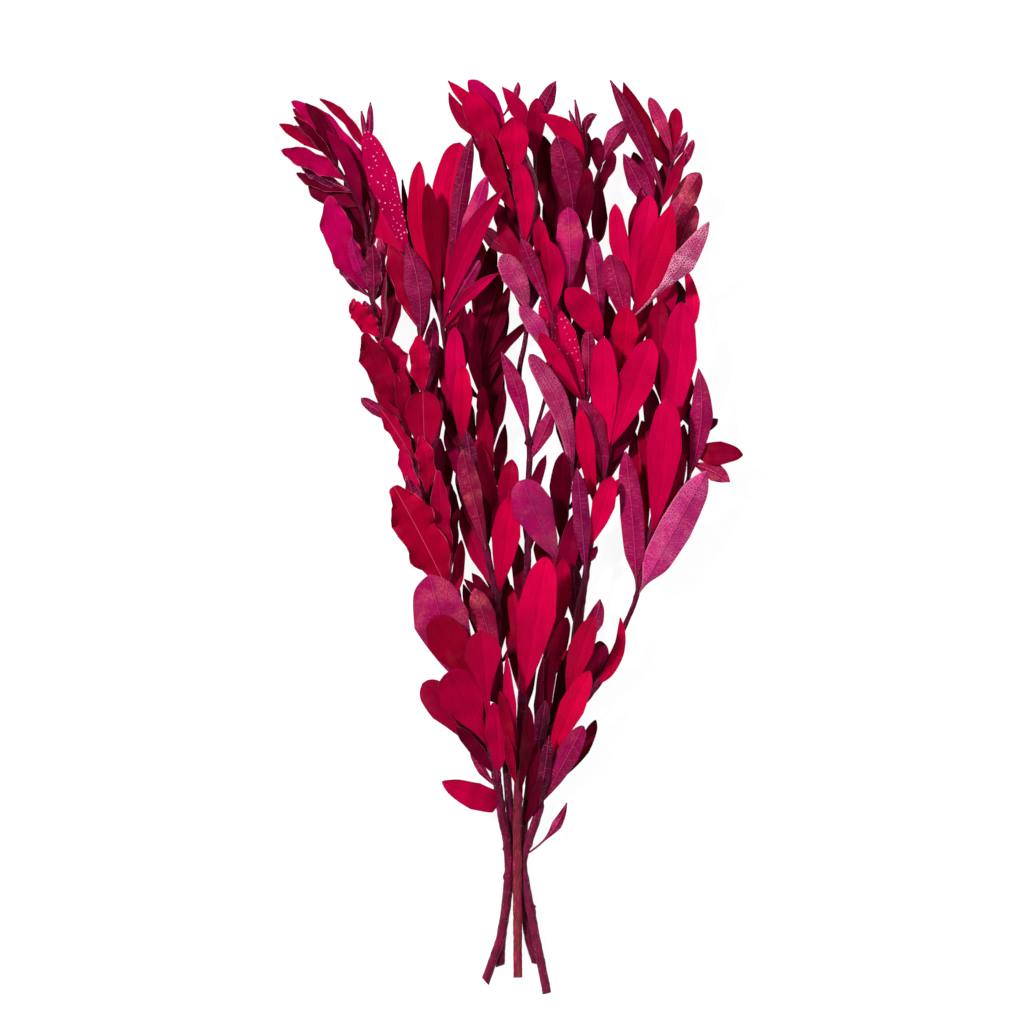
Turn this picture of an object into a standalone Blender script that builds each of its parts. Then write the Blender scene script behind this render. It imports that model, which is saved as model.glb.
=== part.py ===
"""A bunch of preserved banksia foliage, dyed crimson: five cut leafy stems that lie together.

The bunch lies on z = 0 with its cut ends towards -Y and its leaf tips towards +Y, and is seen
from +Z.  Each leafy stem is one solid: its bark, its side twigs and the leaves they carry.
Places on a stem are given in pixels of the reference picture, with a height in millimetres.
"""
import math
import random

import bpy
from mathutils import Matrix, Vector
from mathutils.bvhtree import BVHTree

# Driving dimensions, in metres
MM = 0.001
BUNCH_LENGTH = 0.700
TWIG_SIDES = 5
STEM_SIDES = 7
STEM_STEP = 0.030
TWIG_STEP = 0.024
TWIG_POINT = 0.004
BLADE_THICKNESS = 0.0011
PETIOLE_HALF_WIDTH = 0.0009
BLADE_CUP = 0.16
CLEARANCE = 0.0005
FREE_FROM = 0.010
FLOOR_SPARE = 0.0006

# The reference picture's frame, in its pixels
PICTURE_LEFT, PICTURE_RIGHT = 279, 743
PICTURE_TOP, PICTURE_FOOT = 80, 996
PICTURE_CENTRE = ((PICTURE_LEFT + PICTURE_RIGHT) / 2, (PICTURE_TOP + PICTURE_FOOT) / 2)
PIXEL = BUNCH_LENGTH / (PICTURE_FOOT - PICTURE_TOP)

# Leaves that the rule adds under the ones placed by hand
GOLDEN_ANGLE = math.radians(137.5)
RULE_SPACING = 0.026
RULE_LENGTH = (0.048, 0.074)
RULE_WIDTH = (0.014, 0.021)
RULE_LEAN = (math.radians(32), math.radians(58))
RULE_SEED = 11
FACE_UP = 1.5
RULE_SCALES = (1.0, 0.82)
RULE_CURL = 0.22
TAPER_FROM = 0.2

# Leaf outlines: share of the length, share of the half width
FORMS = {
    "plain": ((0.0, 0.0), (0.34, 0.64), (0.63, 1.0), (0.88, 0.70)),
    "lance": ((0.0, 0.0), (0.30, 0.62), (0.56, 1.0), (0.82, 0.60)),
    "low": ((0.0, 0.0), (0.26, 0.86), (0.54, 1.0), (0.84, 0.58)),
    "drop": ((0.0, 0.0), (0.30, 0.24), (0.58, 1.0), (0.84, 0.58)),
    "broad": ((0.0, 0.0), (0.10, 0.12), (0.29, 0.84), (0.54, 1.0), (0.82, 0.80)),
    "blunt": ((0.0, 0.0), (0.12, 0.78), (0.45, 1.0), (0.82, 0.62)),
    "stalked": ((0.0, 0.0), (0.34, 0.20), (0.64, 1.0), (0.85, 0.56)),
    "waved": ((0.0, 0.0), (0.24, 0.50), (0.40, 0.92), (0.56, 0.82), (0.72, 1.0), (0.87, 0.58)),
    "spoon": ((0.0, 0.0), (0.26, 0.22), (0.50, 0.66), (0.72, 1.0), (0.91, 0.74)),
    "paddle": ((0.0, 0.0), (0.42, 0.20), (0.58, 0.46), (0.80, 1.0), (0.94, 0.74)),
    "slip": ((0.0, 0.0), (0.45, 1.0), (0.80, 0.74)),
    "inner": ((0.0, 0.0), (0.42, 0.92), (0.76, 0.86)),
    "pressed": ((0.0, 0.0), (0.26, 0.40), (0.46, 0.86), (0.68, 1.0), (0.88, 0.60)),
}
WAVED_FORMS = ("waved",)
WAVE_HEIGHT = 0.20
WAVE_TURN = 2.6
WAVE_LAG = 2.2
PHASE_STEP = 1.7
PRESSED_FROM = 0.45
PRESSED_BEND = (0.36, -0.28)
SLOPE_STEP = 0.01
ROLL_RATE = 3

# Material colours, as linear light
CRIMSON = (0.47, 0.004, 0.055, 1.0)
LEAF_ROUGHNESS = 0.55

# Stems: each route runs from the cut end or the fork to the tip as (u, v, height in mm)
ROUTES = {
    "leafy_stem_left": (
        (3.4, 1.3, ((485.5, 983, 6.8), (493.5, 960, 9.2), (500.3, 940, 10.6), (503.8, 920, 10.8),
                    (506.5, 900, 10.6), (508.7, 868, 10.4), (506.8, 842, 10.8), (501.5, 815, 13),
                    (496, 775, 18), (488, 730, 24),
                    (476, 680, 28), (464, 640, 30), (452, 600, 32), (440, 555, 33),
                    (430, 515, 34), (419, 475, 35), (408, 435, 35), (397, 395, 34),
                    (387, 355, 33), (377, 318, 32), (369, 285, 32), (368, 250, 32),
                    (363, 215, 33), (350, 187, 34), (335, 165, 35), (322, 149, 36))),
        (1.8, 1.2, ((427, 503, 34), (425, 455, 40), (424, 420, 44), (422, 380, 46),
                    (420, 340, 46), (416, 300, 46), (412, 266, 45))),
        (1.5, 1.2, ((368, 252, 32), (373, 215, 27), (371, 180, 25), (368, 152, 26))),
    ),
    "leafy_stem_mid_left": (
        (3.4, 1.3, ((500, 968, 3.4), (502, 937, 3.4), (507, 905, 3.4), (510.3, 868, 3.4),
                    (511, 835, 4), (509, 800, 8), (506, 765, 13), (503, 725, 18),
                    (500, 685, 22), (498, 645, 26), (497, 605, 30), (491, 570, 33),
                    (483, 535, 36), (474, 500, 38), (466, 465, 40), (459, 430, 41),
                    (453, 395, 42), (447, 360, 42), (442, 325, 42), (438, 290, 42),
                    (434, 255, 41))),
        (1.5, 1.2, ((442, 328, 42), (451, 300, 46), (458, 272, 49), (464, 244, 50))),
        (1.9, 1.2, ((497, 606, 30), (502, 575, 26), (502, 540, 24), (497, 500, 22),
                    (490, 460, 22), (484, 420, 23), (480, 380, 24), (478, 345, 25))),
    ),
    "leafy_stem_centre": (
        (3.4, 1.3, ((517.7, 979, 10), (517.7, 940, 12.4), (517.5, 905, 14.4), (517.1, 868, 15.7),
                    (517.2, 835, 16.4), (518, 800, 18.5), (519, 760, 23), (521, 715, 29),
                    (523, 670, 35), (525, 625, 41), (527, 580, 45), (528, 535, 48),
                    (528.3, 485, 50), (529.5, 447, 52), (523, 410, 52), (519, 375, 52),
                    (525, 342, 53), (528, 315, 53), (528, 280, 54), (523, 245, 55),
                    (517, 205, 56), (511, 170, 57), (506, 140, 57), (502, 118, 57))),
        (1.5, 1.2, ((529.5, 449, 52), (540.5, 415, 55), (548, 385, 57), (552, 350, 58),
                    (552, 315, 58))),
        (1.6, 1.2, ((523, 247, 55), (531, 210, 51), (535, 172, 49), (533, 138, 49))),
    ),
    "leafy_stem_centre_right": (
        (3.4, 1.3, ((536.5, 966, 3.4), (529, 940, 3.4), (525, 912, 3.4), (522, 882, 3.4),
                    (520.8, 858, 3.4), (523, 832, 4.2), (528, 800, 7), (534, 760, 11), (540, 715, 15),
                    (545, 670, 18), (551, 625, 21), (557, 580, 24), (563, 535, 27),
                    (568, 490, 30), (572, 445, 33), (574, 400, 35), (572, 360, 36),
                    (569, 320, 37), (568, 280, 38), (571, 240, 39), (577, 200, 40),
                    (583, 170, 41), (586, 142, 42))),
        (1.5, 1.2, ((571, 242, 39), (581, 215, 36), (592, 190, 34), (601, 165, 33))),
        (1.7, 1.2, ((572, 447, 33), (580, 420, 34), (588, 398, 34), (596, 372, 33),
                    (602, 345, 32))),
    ),
    "leafy_stem_right": (
        (3.4, 1.3, ((547, 995, 7.2), (541.5, 966, 9.2), (536, 940, 10.1), (532, 918, 10.4),
                    (526.2, 888, 10.5), (522.8, 863, 10.4), (529.5, 840, 11.2), (536.5, 820, 12.6),
                    (540.5, 797, 15.5), (546, 767, 20), (557, 735, 25),
                    (569, 697, 31), (576, 655, 35), (580, 620, 37), (585, 580, 39),
                    (591, 540, 41), (599, 500, 42), (607, 460, 43), (613, 420, 43),
                    (619, 380, 43), (627, 340, 43), (637, 300, 43), (647, 260, 43),
                    (657, 220, 43), (667, 185, 43), (674, 155, 43))),
        (2.2, 1.3, ((562, 730, 26), (577, 710, 30), (591, 694, 33), (602, 672, 35),
                    (614.5, 650, 36), (626, 623, 37), (635.5, 600, 38), (642, 570, 40),
                    (648, 540, 41), (655, 505, 41), (660, 470, 41), (664, 435, 40),
                    (666, 400, 39), (668, 360, 38), (670, 320, 38))),
        (1.6, 1.2, ((648, 542, 41), (661, 522, 38), (675, 502, 36), (688, 480, 35),
                    (695, 450, 35), (698, 418, 35))),
        (1.4, 1.2, ((653, 238, 43), (664, 248, 36), (674, 256, 32), (683, 263, 30))),
    ),
}

# Leaves placed by hand, nearest the eye first: base and tip in pixels, width in pixels, rise of
# the tip above its root in mm, sideways bow in pixels (left of the way to the tip is positive),
# roll in degrees, the face that looks up (1 upper, -1 under) and the form
LEAVES = {
    "leafy_stem_left": (
        (412, 252, 366, 132, 29, 26, 1, 0, 1, "plain"),
        (368, 294, 330, 196, 33, 20, 7, 0, 1, "waved"),
        (366, 290, 352, 238, 14, 26, 2, 10, -1, "slip"),
        (350, 179, 281, 151, 21, 18, -3, 0, 1, "waved"),
        (366, 198, 291, 101, 24, 14, -13, 0, 1, "waved"),
        (330, 150, 279, 124, 13, 8, 0, 0, 1, "inner"),
        (340, 152, 295, 126, 9, 14, 0, 0, -1, "slip"),
        (350, 165, 292, 107, 13, 4, 0, 0, 1, "waved"),
        (345, 160, 294, 117, 11, 0, 0, 0, 1, "waved"),
        (365, 158, 319, 98, 11, 8, -8, 0, 1, "waved"),
        (342, 195, 299, 163, 13, -4, 0, 0, -1, "waved"),
        (335, 200, 296, 172, 12, -10, 0, 0, 1, "waved"),
        (352, 210, 308, 182, 25, -14, 0, 0, 1, "inner"),
        (368, 150, 361, 110, 6, 4, 0, 0, -1, "slip"),
        (370, 150, 370, 101, 8, 6, 0, 0, -1, "slip"),
        (368, 150, 343, 117, 9, 0, 0, 0, 1, "slip"),
        (388, 262, 352, 205, 22, -4, 0, 0, 1, "waved"),
        (390, 290, 379, 238, 13, 8, 0, 20, -1, "waved"),
        (378, 302, 372, 245, 18, 4, 0, 0, -1, "waved"),
        (366, 300, 337, 256, 13, -4, 2, 0, -1, "waved"),
        (362, 336, 354, 298, 13, 6, 4, 0, 1, "waved"),
        (362, 334, 366, 302, 11, 12, -2, 0, -1, "slip"),
        (384, 342, 386, 272, 9, 10, 0, 50, -1, "slip"),
        (422, 338, 407, 244, 29, 14, -5, 0, -1, "lance"),
        (418, 328, 390, 244, 24, -4, 0, 0, 1, "waved"),
        (402, 412, 386, 337, 36, 20, 0, 0, 1, "waved"),
        (400, 414, 364, 334, 30, 12, 1, 0, 1, "waved"),
        (397, 428, 361, 398, 13, 6, 0, 0, -1, "plain"),
        (410, 468, 380, 408, 17, 10, -3, 0, 1, "waved"),
        (425, 472, 423, 391, 39, 20, 0, 0, 1, "spoon"),
        (427, 497, 420, 436, 20, 26, -3, 10, 1, "waved"),
        (410, 455, 405, 414, 10, 18, 3, 0, -1, "slip"),
        (419, 397, 419, 335, 22, 8, 0, 0, 1, "waved"),
        (427, 402, 434, 317, 19, 10, 0, 0, -1, "slip"),
        (437, 602, 394, 486, 46, 18, -5, 0, 1, "waved"),
        (455, 592, 438, 470, 21, 10, 3, 0, 1, "waved"),
        (442, 532, 437, 508, 9, 12, 3, 0, -1, "slip"),
        (455, 582, 450, 482, 18, -8, 0, 0, 1, "waved"),
        (428, 548, 407, 476, 16, -6, 0, 0, -1, "waved"),
        (469, 700, 430, 574, 57, 12, 4, 0, -1, "plain"),
        (482, 703, 435, 615, 42, 22, 0, 0, 1, "spoon"),
        (498, 745, 481, 630, 39, 26, 2, 0, 1, "paddle"),
        (501, 779, 493, 702, 26, 18, -2, 0, 1, "plain"),
        (492, 776, 422, 684, 36, 4, -6, 0, 1, "spoon"),
        (493, 752, 450, 670, 46, 26, 2, 0, 1, "spoon"),
        (494, 790, 470, 748, 9, 4, 2, 0, -1, "slip"),
        (507, 803, 442, 781, 28, 8, 3, 0, 1, "blunt"),
        (392, 352, 393, 262, 22, -8, 0, 0, 1, "inner"),
        (380, 345, 364, 300, 16, -6, 2, 0, 1, "inner"),
        (404, 296, 373, 192, 24, -4, 0, 0, 1, "plain"),
        (345, 165, 305, 103, 15, 2, -4, 0, 1, "inner"),
        (432, 512, 440, 438, 17, -8, 0, 0, 1, "inner"),
        (491, 778, 456, 726, 15, 2, -2, 0, 1, "inner"),
        (407, 447, 374, 370, 22, -6, 0, 0, 1, "inner"),
        (424, 442, 434, 362, 16, -4, 0, 0, 1, "inner"),
        (456, 606, 461, 540, 13, 0, 0, 0, 1, "inner"),
        (370, 215, 352, 140, 18, -6, 0, 0, 1, "inner"),
        (436, 530, 449, 446, 18, -10, 0, 0, 1, "inner"),
        (408, 440, 400, 365, 18, -10, 0, 0, 1, "inner"),
        (425, 470, 441, 396, 16, -4, 0, 0, -1, "inner"),
        (448, 585, 424, 505, 20, -10, 0, 0, 1, "inner"),
        (372, 240, 346, 168, 20, -12, 0, 0, 1, "inner"),
        (366, 210, 326, 130, 16, 4, -6, 0, 1, "inner"),
        (368, 342, 356, 302, 22, -6, 0, 0, 1, "waved"),
        (418, 508, 402, 444, 15, 0, 3, 0, 1, "waved"),
        (413, 330, 402, 276, 16, -8, 0, 0, 1, "inner"),
        (424, 345, 425, 285, 14, -10, 0, 0, 1, "inner"),
        (364, 250, 344, 192, 20, -12, 0, 0, 1, "inner"),
        (374, 308, 362, 236, 16, -14, 0, 0, 1, "inner"),
        (388, 362, 372, 300, 16, -14, 0, 0, 1, "inner"),
        (412, 452, 392, 392, 16, -14, 0, 0, 1, "inner"),
        (447, 590, 444, 520, 16, -12, 0, 0, 1, "inner"),
        (459, 626, 452, 572, 13, -10, 0, 0, -1, "inner"),
        (492, 772, 477, 708, 14, -6, 0, 0, 1, "inner"),
    ),
    "leafy_stem_mid_left": (
        (449, 330, 499, 274, 14, 30, 8, 20, 1, "lance"),
        (449, 325, 505, 189, 26, 30, 12, 10, 1, "lance"),
        (455, 318, 480, 261, 15, 20, 3, 0, -1, "plain"),
        (438, 304, 420, 162, 21, 24, 10, 0, 1, "plain"),
        (439, 304, 428, 184, 19, 22, 0, 0, 1, "plain"),
        (453, 300, 472, 139, 18, 24, 4, 0, -1, "plain"),
        (458, 304, 487, 178, 20, 36, 4, -10, -1, "plain"),
        (449, 306, 460, 143, 36, 12, 8, 0, 1, "spoon"),
        (434, 306, 402, 178, 9, -12, 5, 0, 1, "inner"),
        (467, 447, 463, 366, 20, 34, 1, 0, 1, "plain"),
        (462, 442, 455, 327, 22, 14, 2, 0, 1, "plain"),
        (492, 552, 463, 450, 22, 22, 2, 16, -1, "plain"),
        (506, 597, 511, 496, 30, 28, 2, 0, 1, "plain"),
        (487, 482, 482, 404, 18, 20, 0, 0, 1, "plain"),
        (497, 446, 504, 386, 12, 16, 0, 0, 1, "slip"),
        (482, 440, 482, 386, 13, 14, 0, 0, 1, "plain"),
        (502, 532, 512, 459, 22, 14, 0, 0, 1, "plain"),
        (495, 490, 505, 424, 14, 4, 0, 0, 1, "lance"),
        (478, 402, 472, 318, 18, -2, 0, 0, 1, "inner"),
        (488, 425, 500, 343, 20, -10, 0, 0, 1, "inner"),
        (478, 548, 458, 464, 18, 4, 0, 0, 1, "inner"),
        (488, 615, 464, 579, 10, 4, -2, 0, 1, "slip"),
        (490, 612, 472, 573, 13, 9, -2, 0, 1, "slip"),
        (499, 668, 475, 588, 25, 12, 0, 0, -1, "plain"),
        (493, 598, 485, 545, 7, 8, 0, 60, -1, "slip"),
        (470, 520, 456, 440, 16, -8, 0, 0, -1, "inner"),
        (503, 730, 492, 640, 16, -6, 0, 0, 1, "inner"),
        (455, 420, 439, 345, 17, -10, 0, 0, 1, "inner"),
        (462, 462, 441, 385, 18, -8, 0, 0, 1, "inner"),
        (470, 500, 446, 425, 18, -10, 0, 0, 1, "inner"),
        (484, 592, 461, 506, 18, -4, 0, 0, 1, "inner"),
        (492, 602, 474, 518, 15, -10, 0, 0, -1, "inner"),
        (480, 362, 480, 238, 20, 2, 0, 0, 1, "plain"),
        (482, 372, 500, 262, 18, -2, 0, 0, 1, "inner"),
        (479, 352, 493, 242, 18, -8, 0, 0, 1, "plain"),
        (486, 440, 503, 372, 13, -6, 0, 0, 1, "inner"),
        (491, 520, 477, 438, 19, -4, 0, 0, 1, "inner"),
        (472, 400, 470, 308, 16, 0, 0, 0, 1, "inner"),
        (486, 400, 506, 298, 19, -6, 0, 0, 1, "inner"),
        (501, 660, 507, 575, 14, -8, 0, 0, 1, "inner"),
        (446, 352, 462, 296, 17, 0, 0, 0, 1, "inner"),
        (462, 402, 464, 306, 16, -6, 0, 0, 1, "inner"),
        (472, 478, 467, 396, 16, -10, 0, 0, 1, "inner"),
        (480, 505, 466, 430, 15, -12, 0, 0, -1, "inner"),
        (481, 372, 510, 283, 17, -4, 0, 0, 1, "lance"),
        (480, 375, 531, 319, 12, -4, 2, 20, 1, "slip"),
        (493, 672, 463, 584, 15, 4, 0, 0, 1, "inner"),
        (436, 292, 450, 216, 16, -6, 0, 0, 1, "inner"),
        (443, 332, 432, 252, 16, -8, 0, 0, 1, "inner"),
        (500, 570, 497, 500, 15, -6, 0, 0, 1, "inner"),
        (489, 460, 496, 384, 15, -10, 0, 0, -1, "inner"),
    ),
    "leafy_stem_centre": (
        (504, 156, 466, 94, 30, 22, 1, 0, 1, "plain"),
        (492, 130, 448, 82, 15, 12, 0, 0, 1, "lance"),
        (507, 140, 468, 82, 22, 14, -5, 0, 1, "plain"),
        (490, 152, 449, 93, 17, 3, 6, 0, 1, "lance"),
        (507, 220, 484, 130, 23, 10, 3, 0, 1, "plain"),
        (531, 141, 502, 88, 18, 16, -3, 0, 1, "lance"),
        (520, 178, 512, 119, 30, 26, 0, 0, 1, "plain"),
        (527, 116, 556, 82, 17, 16, -2, 0, -1, "lance"),
        (520, 112, 518, 83, 8, 8, 0, 0, -1, "slip"),
        (535, 247, 517, 163, 22, 22, -2, 0, 1, "plain"),
        (552, 250, 519, 143, 13, 18, -6, 40, -1, "plain"),
        (548, 306, 521, 240, 18, 26, 0, 0, -1, "plain"),
        (555, 307, 543, 230, 13, 22, 0, 0, 1, "plain"),
        (568, 314, 549, 243, 18, 28, -2, 0, 1, "plain"),
        (535, 313, 501, 256, 26, 18, -2, 0, -1, "plain"),
        (503, 264, 484, 228, 17, 8, 0, 0, -1, "plain"),
        (527, 282, 499, 222, 18, 8, 0, 0, 1, "plain"),
        (528, 440, 501, 352, 19, 14, -4, 0, -1, "lance"),
        (549, 366, 519, 307, 20, 14, -6, 0, -1, "plain"),
        (539, 462, 554, 406, 17, 8, 1, 0, -1, "lance"),
        (533, 506, 546, 455, 12, 4, 2, 0, 1, "slip"),
        (522, 702, 546, 556, 40, 26, 0, 0, 1, "plain"),
        (519, 765, 507, 652, 13, 16, 3, 20, 1, "lance"),
        (523, 755, 541, 642, 11, 14, 4, 50, 1, "lance"),
        (515, 770, 500, 690, 12, 6, 0, 0, 1, "plain"),
        (521, 800, 528, 705, 14, 10, -2, 20, 1, "plain"),
        (521, 700, 512, 610, 16, 6, 2, 0, 1, "plain"),
        (519, 790, 506, 735, 10, 4, 2, 20, 1, "plain"),
        (527, 560, 535, 485, 18, -8, 0, 0, 1, "inner"),
        (533, 162, 537, 99, 20, 4, 0, 0, 1, "plain"),
        (507, 160, 484, 108, 18, -2, 0, 0, 1, "inner"),
        (506, 185, 475, 122, 17, 4, 2, 0, -1, "inner"),
        (521, 268, 497, 203, 21, -8, 0, 0, 1, "inner"),
        (546, 300, 538, 214, 18, 2, 0, 0, 1, "inner"),
        (526, 622, 516, 540, 17, 2, 0, 0, 1, "inner"),
        (523, 672, 511, 585, 15, -4, 0, 0, 1, "inner"),
        (527, 242, 506, 192, 16, -10, 0, 0, 1, "inner"),
        (525, 266, 536, 194, 17, -10, 0, 0, 1, "inner"),
        (513, 200, 522, 128, 18, -12, 0, 0, 1, "inner"),
        (528, 320, 514, 262, 16, -12, 0, 0, 1, "inner"),
        (528, 318, 541, 262, 15, -12, 0, 0, -1, "inner"),
        (523, 720, 533, 636, 14, 0, 0, 0, 1, "inner"),
    ),
    "leafy_stem_centre_right": (
        (588, 178, 538, 115, 24, 26, -11, 0, 1, "lance"),
        (583, 242, 588, 168, 16, 18, 0, 0, 1, "plain"),
        (575, 234, 557, 137, 32, 18, -4, 0, -1, "plain"),
        (577, 292, 567, 208, 28, 26, 0, 0, -1, "plain"),
        (583, 133, 597, 115, 10, 12, 5, 0, -1, "slip"),
        (587, 140, 560, 117, 8, 8, 0, 0, 1, "slip"),
        (583, 160, 575, 100, 6, 10, 0, 0, -1, "slip"),
        (582, 150, 569, 110, 6, 4, 0, 0, -1, "slip"),
        (599, 158, 631, 119, 20, 6, 2, 0, -1, "lance"),
        (600, 192, 613, 152, 13, 8, -2, 0, 1, "plain"),
        (598, 172, 596, 137, 15, 2, 0, 0, 1, "plain"),
        (600, 174, 598, 243, 17, 2, 1, 0, 1, "plain"),
        (602, 318, 592, 237, 20, 10, 0, 0, -1, "plain"),
        (566, 262, 543, 134, 26, 0, 3, 0, 1, "plain"),
        (610, 348, 566, 289, 31, 34, -3, 0, 1, "plain"),
        (588, 406, 541, 299, 31, 30, -3, 0, 1, "plain"),
        (580, 404, 539, 332, 18, 22, 0, 0, 1, "plain"),
        (590, 397, 588, 330, 17, 14, 0, 0, -1, "plain"),
        (580, 520, 529, 355, 23, 24, -17, 0, -1, "spoon"),
        (552, 562, 522, 480, 41, 30, 0, 0, -1, "plain"),
        (560, 545, 563, 452, 22, 4, 2, 0, 1, "plain"),
        (556, 662, 564, 558, 22, 16, 0, 0, 1, "plain"),
        (546, 702, 567, 617, 19, 24, 1, 0, 1, "plain"),
        (532, 795, 530, 740, 12, 14, 0, 0, 1, "plain"),
        (537, 770, 543, 655, 13, 14, 2, 50, 1, "lance"),
        (572, 480, 583, 420, 16, -8, 0, 0, 1, "inner"),
        (570, 330, 556, 262, 16, -6, 0, 0, 1, "inner"),
        (560, 602, 578, 508, 22, 0, 0, 0, 1, "inner"),
        (537, 745, 551, 650, 20, 6, 0, 0, 1, "inner"),
        (602, 352, 601, 268, 18, -6, 0, 0, 1, "inner"),
        (586, 402, 574, 318, 19, 6, 0, 0, 1, "inner"),
        (527, 812, 537, 742, 13, 2, 0, 0, 1, "inner"),
        (572, 318, 585, 222, 20, -2, 0, 0, 1, "inner"),
        (578, 256, 590, 178, 18, -2, 0, 0, 1, "inner"),
        (558, 600, 539, 535, 22, 4, 0, 0, 1, "inner"),
        (572, 470, 555, 374, 18, 10, 0, 0, -1, "inner"),
        (532, 785, 546, 700, 18, 4, 0, 0, -1, "inner"),
        (582, 186, 588, 132, 14, -4, 0, 0, 1, "inner"),
        (590, 212, 607, 168, 13, -8, 0, 0, 1, "inner"),
        (570, 286, 545, 196, 20, -6, 0, 0, 1, "inner"),
        (568, 336, 541, 276, 18, -8, 0, 0, -1, "inner"),
        (572, 430, 548, 346, 14, -6, 0, 0, 1, "inner"),
        (552, 640, 566, 560, 16, -6, 0, 0, 1, "inner"),
        (528, 832, 541, 776, 11, 2, 0, 0, 1, "inner"),
    ),
    "leafy_stem_right": (
        (650, 322, 708, 223, 25, 44, -1, 0, -1, "drop"),
        (646, 320, 671, 204, 35, 14, 0, 0, 1, "lance"),
        (622, 452, 650, 339, 37, 34, 2, 0, 1, "plain"),
        (624, 374, 626, 306, 28, 32, 0, 0, 1, "plain"),
        (612, 460, 603, 337, 30, 32, 2, 0, 1, "plain"),
        (593, 512, 580, 408, 19, 32, 0, 0, 1, "plain"),
        (596, 549, 611, 476, 24, 30, 1, 0, 1, "plain"),
        (652, 535, 668, 397, 36, 30, -2, 0, 1, "plain"),
        (659, 450, 681, 302, 37, 26, -5, 0, 1, "plain"),
        (640, 310, 650, 195, 28, 22, 2, 0, 1, "plain"),
        (631, 304, 615, 204, 20, 20, 3, 0, 1, "plain"),
        (622, 330, 609, 255, 27, 16, -2, 0, -1, "plain"),
        (606, 484, 578, 400, 24, 22, -8, 16, -1, "plain"),
        (635, 594, 625, 451, 24, 18, -2, 0, -1, "broad"),
        (641, 600, 706, 471, 34, 24, 1, 0, -1, "broad"),
        (690, 480, 698, 368, 24, 22, -7, 0, -1, "lance"),
        (698, 456, 743, 455, 24, 10, 2, 0, 1, "low"),
        (694, 464, 730, 482, 19, 14, 2, 0, -1, "lance"),
        (702, 432, 718, 419, 11, 6, 0, 0, 1, "slip"),
        (683, 262, 691, 327, 15, 2, 5, 0, 1, "plain"),
        (674, 168, 623, 83, 23, 22, 6, 0, 1, "lance"),
        (665, 197, 609, 81, 18, 28, -3, 10, -1, "lance"),
        (658, 220, 623, 154, 22, 16, 0, 0, -1, "lance"),
        (670, 158, 649, 98, 15, 12, -2, 0, -1, "plain"),
        (673, 160, 676, 108, 16, 8, 0, 0, 1, "plain"),
        (677, 165, 687, 132, 10, 4, 1, 0, -1, "slip"),
        (680, 185, 693, 140, 10, 8, 0, 0, -1, "plain"),
        (670, 236, 700, 173, 26, 8, 3, 0, -1, "plain"),
        (668, 268, 696, 205, 22, 0, 0, 0, -1, "plain"),
        (657, 332, 670, 262, 23, 6, 0, 0, 1, "lance"),
        (676, 422, 675, 350, 22, 12, 0, 0, 1, "plain"),
        (648, 412, 660, 300, 26, 10, 0, 0, 1, "plain"),
        (672, 484, 684, 424, 15, -4, 0, 0, 1, "inner"),
        (600, 516, 625, 478, 13, 14, 2, 0, 1, "plain"),
        (589, 564, 597, 546, 8, 4, 0, 0, 1, "slip"),
        (568, 706, 583, 574, 11, 12, 2, 50, 1, "lance"),
        (562, 702, 594, 616, 25, 26, 2, 0, 1, "plain"),
        (548, 768, 590, 670, 26, 22, 2, 0, 1, "plain"),
        (588, 650, 600, 599, 18, 8, -2, 0, -1, "lance"),
        (589, 713, 600, 641, 24, 0, -3, 0, 1, "plain"),
        (595, 687, 620, 617, 13, 12, -10, 0, 1, "low"),
        (543, 808, 583, 725, 23, 14, 0, 0, -1, "plain"),
        (556, 795, 596, 720, 15, 4, -4, 0, 1, "plain"),
        (527, 857, 567, 803, 11, 12, -6, 0, -1, "stalked"),
        (640, 300, 636, 202, 20, -4, 0, 0, 1, "inner"),
        (612, 480, 618, 400, 16, -8, 0, 0, 1, "inner"),
        (583, 640, 572, 560, 18, -6, 0, 0, -1, "inner"),
        (660, 505, 642, 420, 20, -8, 0, 0, 1, "inner"),
        (630, 374, 650, 288, 20, 0, 0, 0, 1, "inner"),
        (656, 470, 650, 384, 20, 0, 0, 0, 1, "inner"),
        (647, 548, 636, 440, 18, 0, 0, 0, 1, "inner"),
        (653, 532, 686, 452, 17, -8, 0, 0, 1, "inner"),
        (541, 812, 549, 735, 14, 2, 0, 0, -1, "inner"),
        (587, 576, 577, 468, 19, 2, 0, 0, -1, "inner"),
        (612, 472, 637, 404, 20, -2, 0, 0, 1, "inner"),
        (618, 384, 608, 300, 17, -2, 0, 0, 1, "inner"),
        (643, 566, 634, 428, 19, -2, 0, 0, 1, "inner"),
        (608, 495, 627, 412, 18, -10, 0, 0, 1, "inner"),
        (546, 790, 561, 690, 19, 6, 0, 0, 1, "inner"),
        (560, 745, 570, 648, 22, 2, 0, 0, 1, "inner"),
        (686, 482, 700, 374, 15, 4, -2, 0, -1, "lance"),
        (664, 212, 684, 152, 14, 2, 0, 0, 1, "lance"),
        (668, 182, 664, 118, 14, -6, 0, 0, 1, "inner"),
        (660, 222, 663, 164, 13, -4, 0, 0, 1, "inner"),
        (650, 250, 641, 188, 17, -8, 0, 0, 1, "inner"),
        (604, 480, 590, 420, 14, -10, 0, 0, 1, "inner"),
        (572, 700, 590, 640, 16, -8, 0, 0, 1, "inner"),
        (668, 444, 690, 372, 22, -6, 0, 0, 1, "inner"),
    ),
}

# Low leaves that the bunch's weight presses flat on the surface: base, tip and width in pixels
PRESSED = {
    "leafy_stem_left": ((369, 286, 348, 208, 24), (430, 515, 410, 436, 24)),
    "leafy_stem_mid_left": ((502, 560, 488, 478, 22),),
    "leafy_stem_centre_right": ((571, 240, 560, 158, 24), (568, 490, 586, 412, 24)),
    "leafy_stem_right": ((657, 222, 634, 150, 24), (655, 505, 672, 424, 26)),
}

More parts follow.
